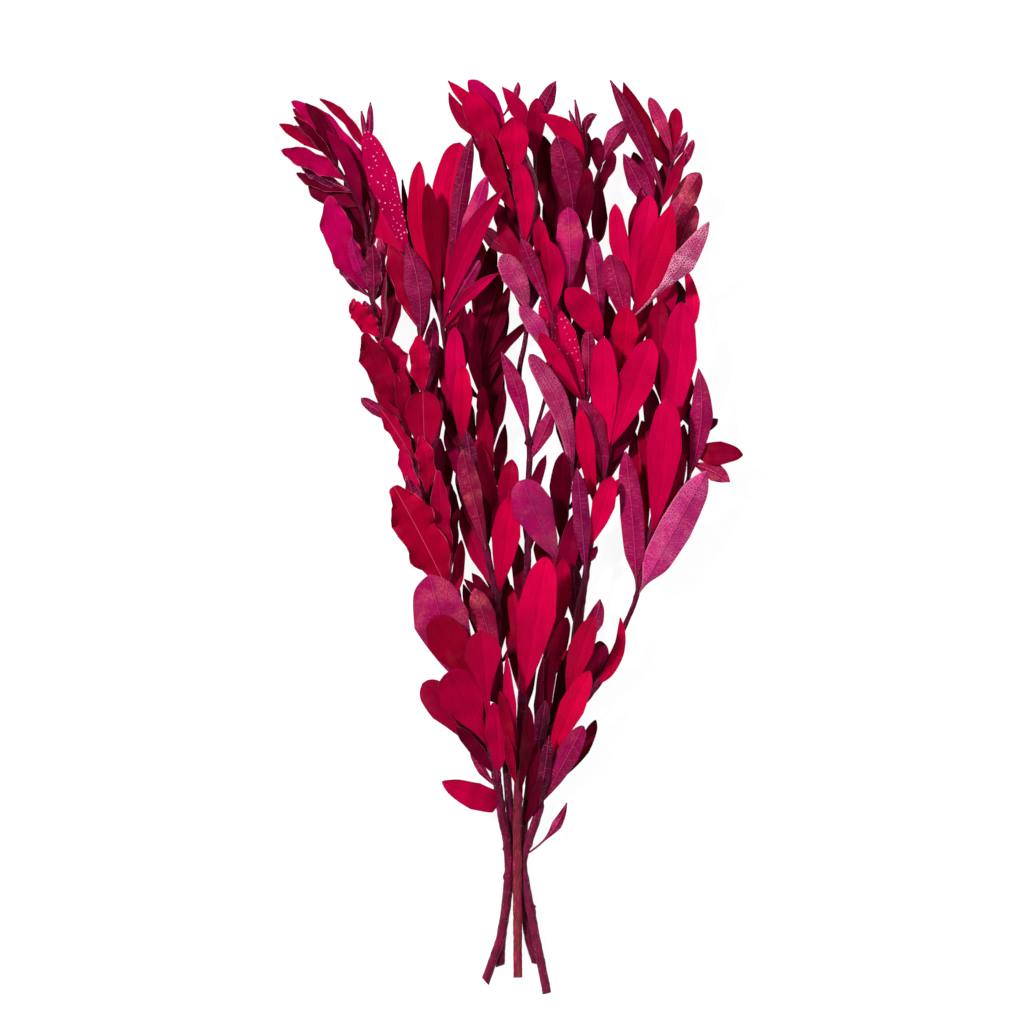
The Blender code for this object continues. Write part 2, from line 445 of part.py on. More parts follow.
# What a blade may try when its first place is taken, the smallest change first
PUSHES = (0, -4, -8, 4, -12, -16, 8, -20, -26, 12, 18, -32, 25, 32)
ARCHES = (3, 8, -2, 13)
TURNS = (0, 14, -14, 28, -28)
RULE_TURNS = (0, 25, -25, 50, -50, 80, -80, 120)


def at(u, v, height=0.0):
    """A place given by picture pixels and a height in millimetres."""
    return Vector(((u - PICTURE_CENTRE[0]) * PIXEL, (PICTURE_CENTRE[1] - v) * PIXEL, height * MM))


def smooth(points, step):
    """Points about step apart on a smooth curve through the given ones."""
    ends = [points[0] * 2 - points[1]] + points + [points[-1] * 2 - points[-2]]
    curve = []
    for a, b, c, d in zip(ends, ends[1:], ends[2:], ends[3:]):
        count = max(1, round((c - b).length / step))
        for i in range(count):
            t = i / count
            curve.append(
                0.5 * (2 * b + (c - a) * t + (2 * a - 5 * b + 4 * c - d) * t ** 2
                       + (3 * b - a - 3 * c + d) * t ** 3))
    return curve + [points[-1]]


class Twig:
    """One run of bark, from its cut end or fork to its tip."""

    def __init__(self, stem, radius, tip_radius, route, main):
        self.stem = stem
        self.main = main
        self.centres = smooth([at(*place) for place in route], STEM_STEP if main else TWIG_STEP)
        last = len(self.centres) - 1
        shares = [max(0.0, i / last - TAPER_FROM) / (1 - TAPER_FROM) for i in range(last + 1)]
        self.radii = [(radius + (tip_radius - radius) * share) * MM for share in shares]

    def nearest(self, place):
        """The centre nearest a place as seen from above, and the twig's direction there."""
        best = None
        for a, b in zip(self.centres, self.centres[1:]):
            run = (b - a).xy
            share = min(1.0, max(0.0, (place.xy - a.xy).dot(run) / run.length_squared))
            centre = a.lerp(b, share)
            gap = (centre.xy - place.xy).length
            if best is None or gap < best[0]:
                best = (gap, centre, (b - a).normalized())
        return best

    def skin(self, spare=0.0):
        """A closed tube round the centres, with a flat cut end and a pointed tip."""
        sides = STEM_SIDES if self.main else TWIG_SIDES
        verts, faces = [], []
        across = Vector((0, 0, 1))
        for i, centre in enumerate(self.centres):
            ahead = self.centres[min(i + 1, len(self.centres) - 1)]
            behind = self.centres[max(i - 1, 0)]
            along = (ahead - behind).normalized()
            across = (across - along * across.dot(along)).normalized()
            beside = along.cross(across)
            for k in range(sides):
                turn = math.tau * k / sides
                spoke = across * math.cos(turn) + beside * math.sin(turn)
                verts.append(centre + spoke * (self.radii[i] + spare))
        for i in range(len(self.centres) - 1):
            for k in range(sides):
                a, b = i * sides + k, i * sides + (k + 1) % sides
                faces.append((a, b, b + sides, a + sides))
        faces.append(tuple(range(sides))[::-1])
        verts.append(self.centres[-1] + along * TWIG_POINT)
        last = (len(self.centres) - 1) * sides
        faces += [(last + k, last + (k + 1) % sides, len(verts) - 1) for k in range(sides)]
        return verts, faces


class Station:
    """One cross section of a blade: two edges, and the rib's upper and lower line."""

    def __init__(self, centre, across, normal, half, edges, rib):
        self.centre, self.across, self.normal = centre, across, normal
        self.half, self.edges, self.rib = half, edges, rib

    def corners(self, spare):
        reach = self.across * (self.half + spare)
        return [self.centre - reach + self.normal * self.edges[0],
                self.centre + self.normal * (self.rib[1] + spare),
                self.centre + reach + self.normal * self.edges[1],
                self.centre + self.normal * (self.rib[0] - spare)]

    def toward(self, other, share):
        """The section part of the way to another."""
        def mix(a, b):
            return a + (b - a) * share
        pairs = zip(self.edges, other.edges), zip(self.rib, other.rib)
        edges, rib = (tuple(mix(a, b) for a, b in pair) for pair in pairs)
        return Station(mix(self.centre, other.centre), mix(self.across, other.across).normalized(),
                       mix(self.normal, other.normal).normalized(), mix(self.half, other.half),
                       edges, rib)


class Blade:
    """One leaf: its sections from the root to near the tip, and its tip."""

    def __init__(self, form, curve, half, facing, roll, phase=0.0):
        self.form, self.curve, self.half = form, curve, half
        self.facing, self.roll, self.phase = facing, roll, phase
        self.stations = [self.station(i, t, w) for i, (t, w) in enumerate(FORMS[form])]
        self.tip = bezier(curve, 1.0)
        if form == "pressed":
            self.tip.z = 0.0

    def station(self, index, t, width):
        centre = bezier(self.curve, t)
        along = (bezier(self.curve, t + SLOPE_STEP) - bezier(self.curve, t - SLOPE_STEP)).normalized()
        flat = self.form == "pressed" and t > PRESSED_FROM
        facing = Vector((0, 0, 1)) if self.form == "pressed" else self.facing
        if flat:
            along.z = 0.0
            centre.z = 0.0
        across = along.cross(facing).normalized()
        turn = Matrix.Rotation(0.0 if flat else self.roll * min(1.0, t * ROLL_RATE), 3, along)
        across = turn @ across
        normal = across.cross(along)
        half = max(PETIOLE_HALF_WIDTH, self.half * width)
        if flat:
            return Station(centre, across, normal, half, (0.0, 0.0), (0.0, BLADE_THICKNESS))
        lift = half * BLADE_CUP if index else 0.0
        edges = (lift, lift)
        if self.form in WAVED_FORMS and index:
            swing = self.half * WAVE_HEIGHT
            turn = self.phase + index * WAVE_TURN
            edges = (lift + swing * math.sin(turn), lift + swing * math.sin(turn + WAVE_LAG))
        return Station(centre, across, normal, half, edges,
                       (-BLADE_THICKNESS / 2, BLADE_THICKNESS / 2))

    def skin(self, spare=0.0, free=False):
        """A closed blade, or the part of it that is clear of its root."""
        stations = list(self.stations)
        if free:
            span = (stations[1].centre - stations[0].centre).length
            stations[0] = stations[0].toward(stations[1], min(0.9, FREE_FROM / span))
        verts, faces = [], []
        for station in stations:
            verts += station.corners(spare)
        out = (self.tip - stations[-1].centre).normalized()
        verts.append(self.tip + out * spare)
        for i in range(0, len(verts) - 5, 4):
            left, top, right, under = range(i, i + 4)
            faces += [(left, top, top + 4), (left, top + 4, left + 4),
                      (left, under + 4, under), (left, left + 4, under + 4),
                      (right, top + 4, top), (right, right + 4, top + 4),
                      (right, under, under + 4), (right, under + 4, right + 4)]
        last, tip = len(verts) - 5, len(verts) - 1
        faces += [(last + k, last + (k + 1) % 4, tip) for k in range(4)]
        faces += [(0, 2, 1), (0, 3, 2)]
        return verts, faces


def bezier(curve, t):
    """A point of the curve through a root, a control place and a tip."""
    root, control, tip = curve
    return root * (1 - t) ** 2 + control * (2 * t * (1 - t)) + tip * t ** 2


class Crowd:
    """What is already placed, which a new blade has to miss."""

    def __init__(self):
        self.solids = []

    def add(self, stem, solid, is_blade):
        verts, faces = solid.skin()
        free = BVHTree.FromPolygons(*solid.skin(free=True)) if is_blade else None
        whole = BVHTree.FromPolygons(verts, faces)
        self.solids.append((stem, whole, free, box(verts)))

    def has_room(self, stem, blade):
        verts, faces = blade.skin(CLEARANCE)
        low, high = box(verts)
        if low[2] < FLOOR_SPARE - CLEARANCE and blade.form != "pressed":
            return False
        whole = BVHTree.FromPolygons(verts, faces)
        free = BVHTree.FromPolygons(*blade.skin(CLEARANCE, free=True))
        for other, other_whole, other_free, (other_low, other_high) in self.solids:
            if any(low[k] > other_high[k] or high[k] < other_low[k] for k in range(3)):
                continue
            if other != stem:
                if whole.overlap(other_whole):
                    return False
            elif free.overlap(other_whole) or (other_free and whole.overlap(other_free)):
                return False
        return True


def box(verts):
    return ([min(v[k] for v in verts) for k in range(3)],
            [max(v[k] for v in verts) for k in range(3)])


def root_near(twigs, place):
    """Where the twig nearest a place, seen from above, carries a leaf."""
    _, centre, along = min((twig.nearest(place) for twig in twigs), key=lambda found: found[0])
    return centre, along


def hand_blades(twigs, row, phase):
    """The blades that a row of the table may become, the closest to it first."""
    u0, v0, u1, v1, width, rise, bow, roll, side, form = row
    base, tip = at(u0, v0), at(u1, v1)
    root, _ = root_near(twigs, base)
    way = tip - base
    left = Vector((-way.y, way.x, 0)).normalized()
    for turn in TURNS:
        for arch in ARCHES:
            for push in PUSHES:
                high = rise + push
                control = base.lerp(tip, 0.5) + left * (2 * bow * PIXEL)
                control.z = root.z + (high * 0.5 + arch) * MM
                end = Vector((tip.x, tip.y, root.z + high * MM))
                half = width * PIXEL / 2
                facing = Vector((0, 0, side))
                yield Blade(form, (root, control, end), half, facing,
                            math.radians(roll + turn), phase)


def pressed_blade(twigs, row):
    """A low leaf that runs down to the surface and lies flat on it."""
    u0, v0, u1, v1, width = row
    base, tip = at(u0, v0), at(u1, v1)
    root, _ = root_near(twigs, base)
    control = base.lerp(tip, PRESSED_BEND[0])
    control.z = root.z * PRESSED_BEND[1]
    return Blade("pressed", (root, control, tip), width * PIXEL / 2, Vector((0, 0, 1)), 0.0)


def rule_blades(centre, along, azimuth, lean, length, width, phase, form):
    """The blades that a place on a twig may carry, turned round the twig until one is free."""
    start = Vector((0, 0, 1))
    start = (start - along * start.dot(along)).normalized()
    beside = along.cross(start)
    for scale in RULE_SCALES:
        for turn in RULE_TURNS:
            angle = azimuth + math.radians(turn)
            out = start * math.cos(angle) + beside * math.sin(angle)
            heading = along * math.cos(lean) + out * math.sin(lean)
            inward = (along - heading * along.dot(heading)).normalized()
            upward = Vector((0, 0, 1)) - heading * heading.z
            facing = (inward + upward * FACE_UP).normalized()
            reach = length * scale
            control = centre + heading * reach * 0.5
            end = centre + (heading + along * RULE_CURL).normalized() * reach
            yield Blade(form, (centre, control, end), width * scale / 2, facing, 0.0, phase)


def is_hidden(cover, blade):
    """Whether the leaves placed by hand lie over the whole of a blade."""
    places = [blade.tip]
    for station in blade.stations[1:]:
        places += [station.centre] + station.corners(0.0)[0:3:2]
    return all(cover.ray_cast(place, Vector((0, 0, 1)))[0] is not None for place in places)


def lay_out():
    """Every twig and every blade, by stem, in the place where it stays."""
    twigs = {stem: [Twig(stem, *route, main=i == 0) for i, route in enumerate(routes)]
             for stem, routes in ROUTES.items()}
    blades = {stem: [] for stem in ROUTES}
    crowd = Crowd()
    for stem in ROUTES:
        for twig in twigs[stem]:
            crowd.add(stem, twig, False)

    def settle(stem, tries):
        for blade in tries:
            if crowd.has_room(stem, blade):
                crowd.add(stem, blade, True)
                blades[stem].append(blade)
                return

    for stem, rows in PRESSED.items():
        for row in rows:
            settle(stem, [pressed_blade(twigs[stem], row)])
    for stem, rows in LEAVES.items():
        for index, row in enumerate(rows):
            settle(stem, hand_blades(twigs[stem], row, index * PHASE_STEP))

    verts, faces = [], []
    for placed in blades.values():
        for blade in placed:
            more, skin = blade.skin()
            faces += [tuple(i + len(verts) for i in face) for face in skin]
            verts += more
    cover = BVHTree.FromPolygons(verts, faces)
    draw = random.Random(RULE_SEED)
    for stem in ROUTES:
        for twig in twigs[stem]:
            rule_leaves(twig, cover, settle, draw)
    return twigs, blades


def rule_leaves(twig, cover, settle, draw):
    """Leaves in a spiral along a twig, where the ones placed by hand hide them."""
    azimuth = draw.uniform(0, math.tau)
    for a, b in zip(twig.centres, twig.centres[1:]):
        count = max(1, round((b - a).length / RULE_SPACING))
        for i in range(count):
            azimuth += GOLDEN_ANGLE
            centre = a.lerp(b, (i + 0.5) / count)
            sizes = draw.uniform(*RULE_LENGTH), draw.uniform(*RULE_WIDTH)
            lean, phase = draw.uniform(*RULE_LEAN), draw.uniform(0, math.tau)
            tries = rule_blades(centre, (b - a).normalized(), azimuth, lean, *sizes, phase,
                                "inner")
            settle(twig.stem, (blade for blade in tries if is_hidden(cover, blade)))


def mesh_object(name, verts, faces):
    mesh = bpy.data.meshes.new(name)
    mesh.from_pydata([tuple(v) for v in verts], [], faces)
    mesh.update()
    return bpy.data.objects.new(name, mesh)


def foliage_material(name):
    material = bpy.data.materials.new(name)
    material.use_nodes = True
    shader = material.node_tree.nodes["Principled BSDF"]
    shader.inputs["Base Color"].default_value = CRIMSON
    shader.inputs["Roughness"].default_value = LEAF_ROUGHNESS
    shader.inputs["Metallic"].default_value = 0.0
    return material


def leafy_stem(name, solids, shift):
    """One solid from a stem's twigs and blades, joined by a Boolean union."""
    scene = bpy.context.scene
    parts = bpy.data.collections.new(name + "_parts")
    scene.collection.children.link(parts)
    for solid in solids[1:]:
        verts, faces = solid.skin()
        parts.objects.link(mesh_object(name + "_part", [v + shift for v in verts], faces))
    verts, faces = solids[0].skin()
    stem = mesh_object(name, [v + shift for v in verts], faces)
    scene.collection.objects.link(stem)
    union = stem.modifiers.new("union", "BOOLEAN")
    union.operation = "UNION"
    union.solver = "EXACT"
    union.operand_type = "COLLECTION"
    union.collection = parts
    whole = stem.evaluated_get(bpy.context.evaluated_depsgraph_get())
    mesh = bpy.data.meshes.new_from_object(whole)
    stem.modifiers.clear()
    stem.data = mesh
    mesh.materials.clear()
    mesh.materials.append(foliage_material(name))
    for part in list(parts.objects):
        bpy.data.objects.remove(part)
    bpy.data.collections.remove(parts)
    return stem


def main():
    for item in list(bpy.data.objects):
        bpy.data.objects.remove(item)
    twigs, blades = lay_out()
    solids = {stem: twigs[stem] + blades[stem] for stem in ROUTES}
    corners = [v for placed in solids.values() for solid in placed for v in solid.skin()[0]]
    low, high = box(corners)
    shift = Vector((-(low[0] + high[0]) / 2, -(low[1] + high[1]) / 2, -low[2]))
    for stem, placed in solids.items():
        leafy_stem(stem, placed, shift)


main()
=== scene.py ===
"""A bunch of preserved banksia foliage, dyed crimson: how its leaves and bark look.

Five cut leafy stems lie together on z = 0, their cut ends towards -Y, seen from +Z.  The leaves
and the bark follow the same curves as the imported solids, and replace them stem by stem.
"""
import math
import random
from itertools import product

import bpy
import numpy as np
from mathutils import Matrix, Vector, noise
from mathutils.bvhtree import BVHTree


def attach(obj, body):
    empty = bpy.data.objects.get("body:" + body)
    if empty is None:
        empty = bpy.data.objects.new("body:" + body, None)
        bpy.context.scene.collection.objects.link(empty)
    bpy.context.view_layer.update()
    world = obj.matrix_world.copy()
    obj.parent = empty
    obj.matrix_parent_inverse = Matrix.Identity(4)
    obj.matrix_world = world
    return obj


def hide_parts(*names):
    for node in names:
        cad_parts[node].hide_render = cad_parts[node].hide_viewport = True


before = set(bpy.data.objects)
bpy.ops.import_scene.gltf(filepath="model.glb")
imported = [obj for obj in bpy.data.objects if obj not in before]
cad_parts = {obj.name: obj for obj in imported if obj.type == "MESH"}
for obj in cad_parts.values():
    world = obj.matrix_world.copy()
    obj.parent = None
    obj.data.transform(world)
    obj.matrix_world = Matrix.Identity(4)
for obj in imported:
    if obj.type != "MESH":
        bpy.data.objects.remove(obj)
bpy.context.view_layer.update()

UP = Vector((0, 0, 1))

# Driving dimensions, in metres
MM = 0.001
BUNCH_LENGTH = 0.700
TWIG_SIDES = 5
STEM_SIDES = 7
STEM_STEP = 0.030
TWIG_STEP = 0.024
TWIG_POINT = 0.004
# Share of a twig's length from which it tapers
TAPER_FROM = 0.2
BLADE_THICKNESS = 0.0011
PETIOLE_HALF_WIDTH = 0.0009
BLADE_CUP = 0.16
# Corners of a blade's cross section
CORNERS = 4
CLEARANCE = 0.0005
# How far from its root a blade may touch its own stem, and at most as a share of its first
# section
FREE_FROM = 0.010
FREE_AT_MOST = 0.9
FLOOR_SPARE = 0.0006

# The reference picture's frame, in its pixels
PICTURE_LEFT, PICTURE_RIGHT = 279, 743
PICTURE_TOP, PICTURE_FOOT = 80, 996
PICTURE_CENTRE = ((PICTURE_LEFT + PICTURE_RIGHT) / 2, (PICTURE_TOP + PICTURE_FOOT) / 2)
PIXEL = BUNCH_LENGTH / (PICTURE_FOOT - PICTURE_TOP)

# Leaves that the rule adds under the listed ones
GOLDEN_ANGLE = math.radians(137.5)
RULE_SPACING = 0.026
RULE_LENGTH = (0.048, 0.074)
RULE_WIDTH = (0.014, 0.021)
RULE_LEAN = (math.radians(32), math.radians(58))
RULE_SEED = 11
FACE_UP = 1.5
RULE_SCALES = (1.0, 0.82)
RULE_CURL = 0.22

# Leaf outlines: share of the length, share of the half width
FORMS = {
    "plain": ((0.0, 0.0), (0.34, 0.64), (0.63, 1.0), (0.88, 0.70)),
    "lance": ((0.0, 0.0), (0.30, 0.62), (0.56, 1.0), (0.82, 0.60)),
    "low": ((0.0, 0.0), (0.26, 0.86), (0.54, 1.0), (0.84, 0.58)),
    "drop": ((0.0, 0.0), (0.30, 0.24), (0.58, 1.0), (0.84, 0.58)),
    "broad": ((0.0, 0.0), (0.10, 0.12), (0.29, 0.84), (0.54, 1.0), (0.82, 0.80)),
    "blunt": ((0.0, 0.0), (0.12, 0.78), (0.45, 1.0), (0.82, 0.62)),
    "stalked": ((0.0, 0.0), (0.34, 0.20), (0.64, 1.0), (0.85, 0.56)),
    "waved": ((0.0, 0.0), (0.24, 0.50), (0.40, 0.92), (0.56, 0.82), (0.72, 1.0), (0.87, 0.58)),
    "spoon": ((0.0, 0.0), (0.26, 0.22), (0.50, 0.66), (0.72, 1.0), (0.91, 0.74)),
    "paddle": ((0.0, 0.0), (0.42, 0.20), (0.58, 0.46), (0.80, 1.0), (0.94, 0.74)),
    "slip": ((0.0, 0.0), (0.45, 1.0), (0.80, 0.74)),
    "inner": ((0.0, 0.0), (0.42, 0.92), (0.76, 0.86)),
    "pressed": ((0.0, 0.0), (0.26, 0.40), (0.46, 0.86), (0.68, 1.0), (0.88, 0.60)),
}
# Waves of a margin: height as a share of the half width, turn from one section to the next, how
# far the right side lags, and the turn from one leaf to the next
WAVED_FORMS = ("waved",)
WAVE_HEIGHT = 0.20
WAVE_TURN = 2.6
WAVE_LAG = 2.2
PHASE_STEP = 1.7
# A pressed leaf: from where it lies flat, and how far along and how deep its bend is
PRESSED_FROM = 0.45
PRESSED_BEND = (0.36, -0.28)
# Step in which the way along a blade is measured, and how fast its roll sets in
SLOPE_STEP = 0.01
ROLL_RATE = 3

# Stems: each run has its radius and its tip's radius in mm, and goes from the cut end or the
# fork to the tip as (u, v, height in mm)
ROUTES = {
    "leafy_stem_left": (
        (3.4, 1.3, (
            (485.5, 983, 6.8), (493.5, 960, 9.2), (500.3, 940, 10.6), (503.8, 920, 10.8),
            (506.5, 900, 10.6), (508.7, 868, 10.4), (506.8, 842, 10.8), (501.5, 815, 13),
            (496, 775, 18), (488, 730, 24), (476, 680, 28), (464, 640, 30), (452, 600, 32),
            (440, 555, 33), (430, 515, 34), (419, 475, 35), (408, 435, 35), (397, 395, 34),
            (387, 355, 33), (377, 318, 32), (369, 285, 32), (368, 250, 32), (363, 215, 33),
            (350, 187, 34), (335, 165, 35), (322, 149, 36),
        )),
        (1.8, 1.2, (
            (427, 503, 34), (425, 455, 40), (424, 420, 44), (422, 380, 46), (420, 340, 46),
            (416, 300, 46), (412, 266, 45),
        )),
        (1.5, 1.2, (
            (368, 252, 32), (373, 215, 27), (371, 180, 25), (368, 152, 26),
        )),
    ),
    "leafy_stem_mid_left": (
        (3.4, 1.3, (
            (500, 968, 3.4), (502, 937, 3.4), (507, 905, 3.4), (510.3, 868, 3.4), (511, 835, 4),
            (509, 800, 8), (506, 765, 13), (503, 725, 18), (500, 685, 22), (498, 645, 26),
            (497, 605, 30), (491, 570, 33), (483, 535, 36), (474, 500, 38), (466, 465, 40),
            (459, 430, 41), (453, 395, 42), (447, 360, 42), (442, 325, 42), (438, 290, 42),
            (434, 255, 41),
        )),
        (1.5, 1.2, (
            (442, 328, 42), (451, 300, 46), (458, 272, 49), (464, 244, 50),
        )),
        (1.9, 1.2, (
            (497, 606, 30), (502, 575, 26), (502, 540, 24), (497, 500, 22), (490, 460, 22),
            (484, 420, 23), (480, 380, 24), (478, 345, 25),
        )),
    ),
    "leafy_stem_centre": (
        (3.4, 1.3, (
            (517.7, 979, 10), (517.7, 940, 12.4), (517.5, 905, 14.4), (517.1, 868, 15.7),
            (517.2, 835, 16.4), (518, 800, 18.5), (519, 760, 23), (521, 715, 29), (523, 670, 35),
            (525, 625, 41), (527, 580, 45), (528, 535, 48), (528.3, 485, 50), (529.5, 447, 52),
            (523, 410, 52), (519, 375, 52), (525, 342, 53), (528, 315, 53), (528, 280, 54),
            (523, 245, 55), (517, 205, 56), (511, 170, 57), (506, 140, 57), (502, 118, 57),
        )),
        (1.5, 1.2, (
            (529.5, 449, 52), (540.5, 415, 55), (548, 385, 57), (552, 350, 58), (552, 315, 58),
        )),
        (1.6, 1.2, (
            (523, 247, 55), (531, 210, 51), (535, 172, 49), (533, 138, 49),
        )),
    ),
    "leafy_stem_centre_right": (
        (3.4, 1.3, (
            (536.5, 966, 3.4), (529, 940, 3.4), (525, 912, 3.4), (522, 882, 3.4), (520.8, 858, 3.4),
            (523, 832, 4.2), (528, 800, 7), (534, 760, 11), (540, 715, 15), (545, 670, 18),
            (551, 625, 21), (557, 580, 24), (563, 535, 27), (568, 490, 30), (572, 445, 33),
            (574, 400, 35), (572, 360, 36), (569, 320, 37), (568, 280, 38), (571, 240, 39),
            (577, 200, 40), (583, 170, 41), (586, 142, 42),
        )),
        (1.5, 1.2, (
            (571, 242, 39), (581, 215, 36), (592, 190, 34), (601, 165, 33),
        )),
        (1.7, 1.2, (
            (572, 447, 33), (580, 420, 34), (588, 398, 34), (596, 372, 33), (602, 345, 32),
        )),
    ),
    "leafy_stem_right": (
        (3.4, 1.3, (
            (547, 995, 7.2), (541.5, 966, 9.2), (536, 940, 10.1), (532, 918, 10.4),
            (526.2, 888, 10.5), (522.8, 863, 10.4), (529.5, 840, 11.2), (536.5, 820, 12.6),
            (540.5, 797, 15.5), (546, 767, 20), (557, 735, 25), (569, 697, 31), (576, 655, 35),
            (580, 620, 37), (585, 580, 39), (591, 540, 41), (599, 500, 42), (607, 460, 43),
            (613, 420, 43), (619, 380, 43), (627, 340, 43), (637, 300, 43), (647, 260, 43),
            (657, 220, 43), (667, 185, 43), (674, 155, 43),
        )),
        (2.2, 1.3, (
            (562, 730, 26), (577, 710, 30), (591, 694, 33), (602, 672, 35), (614.5, 650, 36),
            (626, 623, 37), (635.5, 600, 38), (642, 570, 40), (648, 540, 41), (655, 505, 41),
            (660, 470, 41), (664, 435, 40), (666, 400, 39), (668, 360, 38), (670, 320, 38),
        )),
        (1.6, 1.2, (
            (648, 542, 41), (661, 522, 38), (675, 502, 36), (688, 480, 35), (695, 450, 35),
            (698, 418, 35),
        )),
        (1.4, 1.2, (
            (653, 238, 43), (664, 248, 36), (674, 256, 32), (683, 263, 30),
        )),
    ),
}
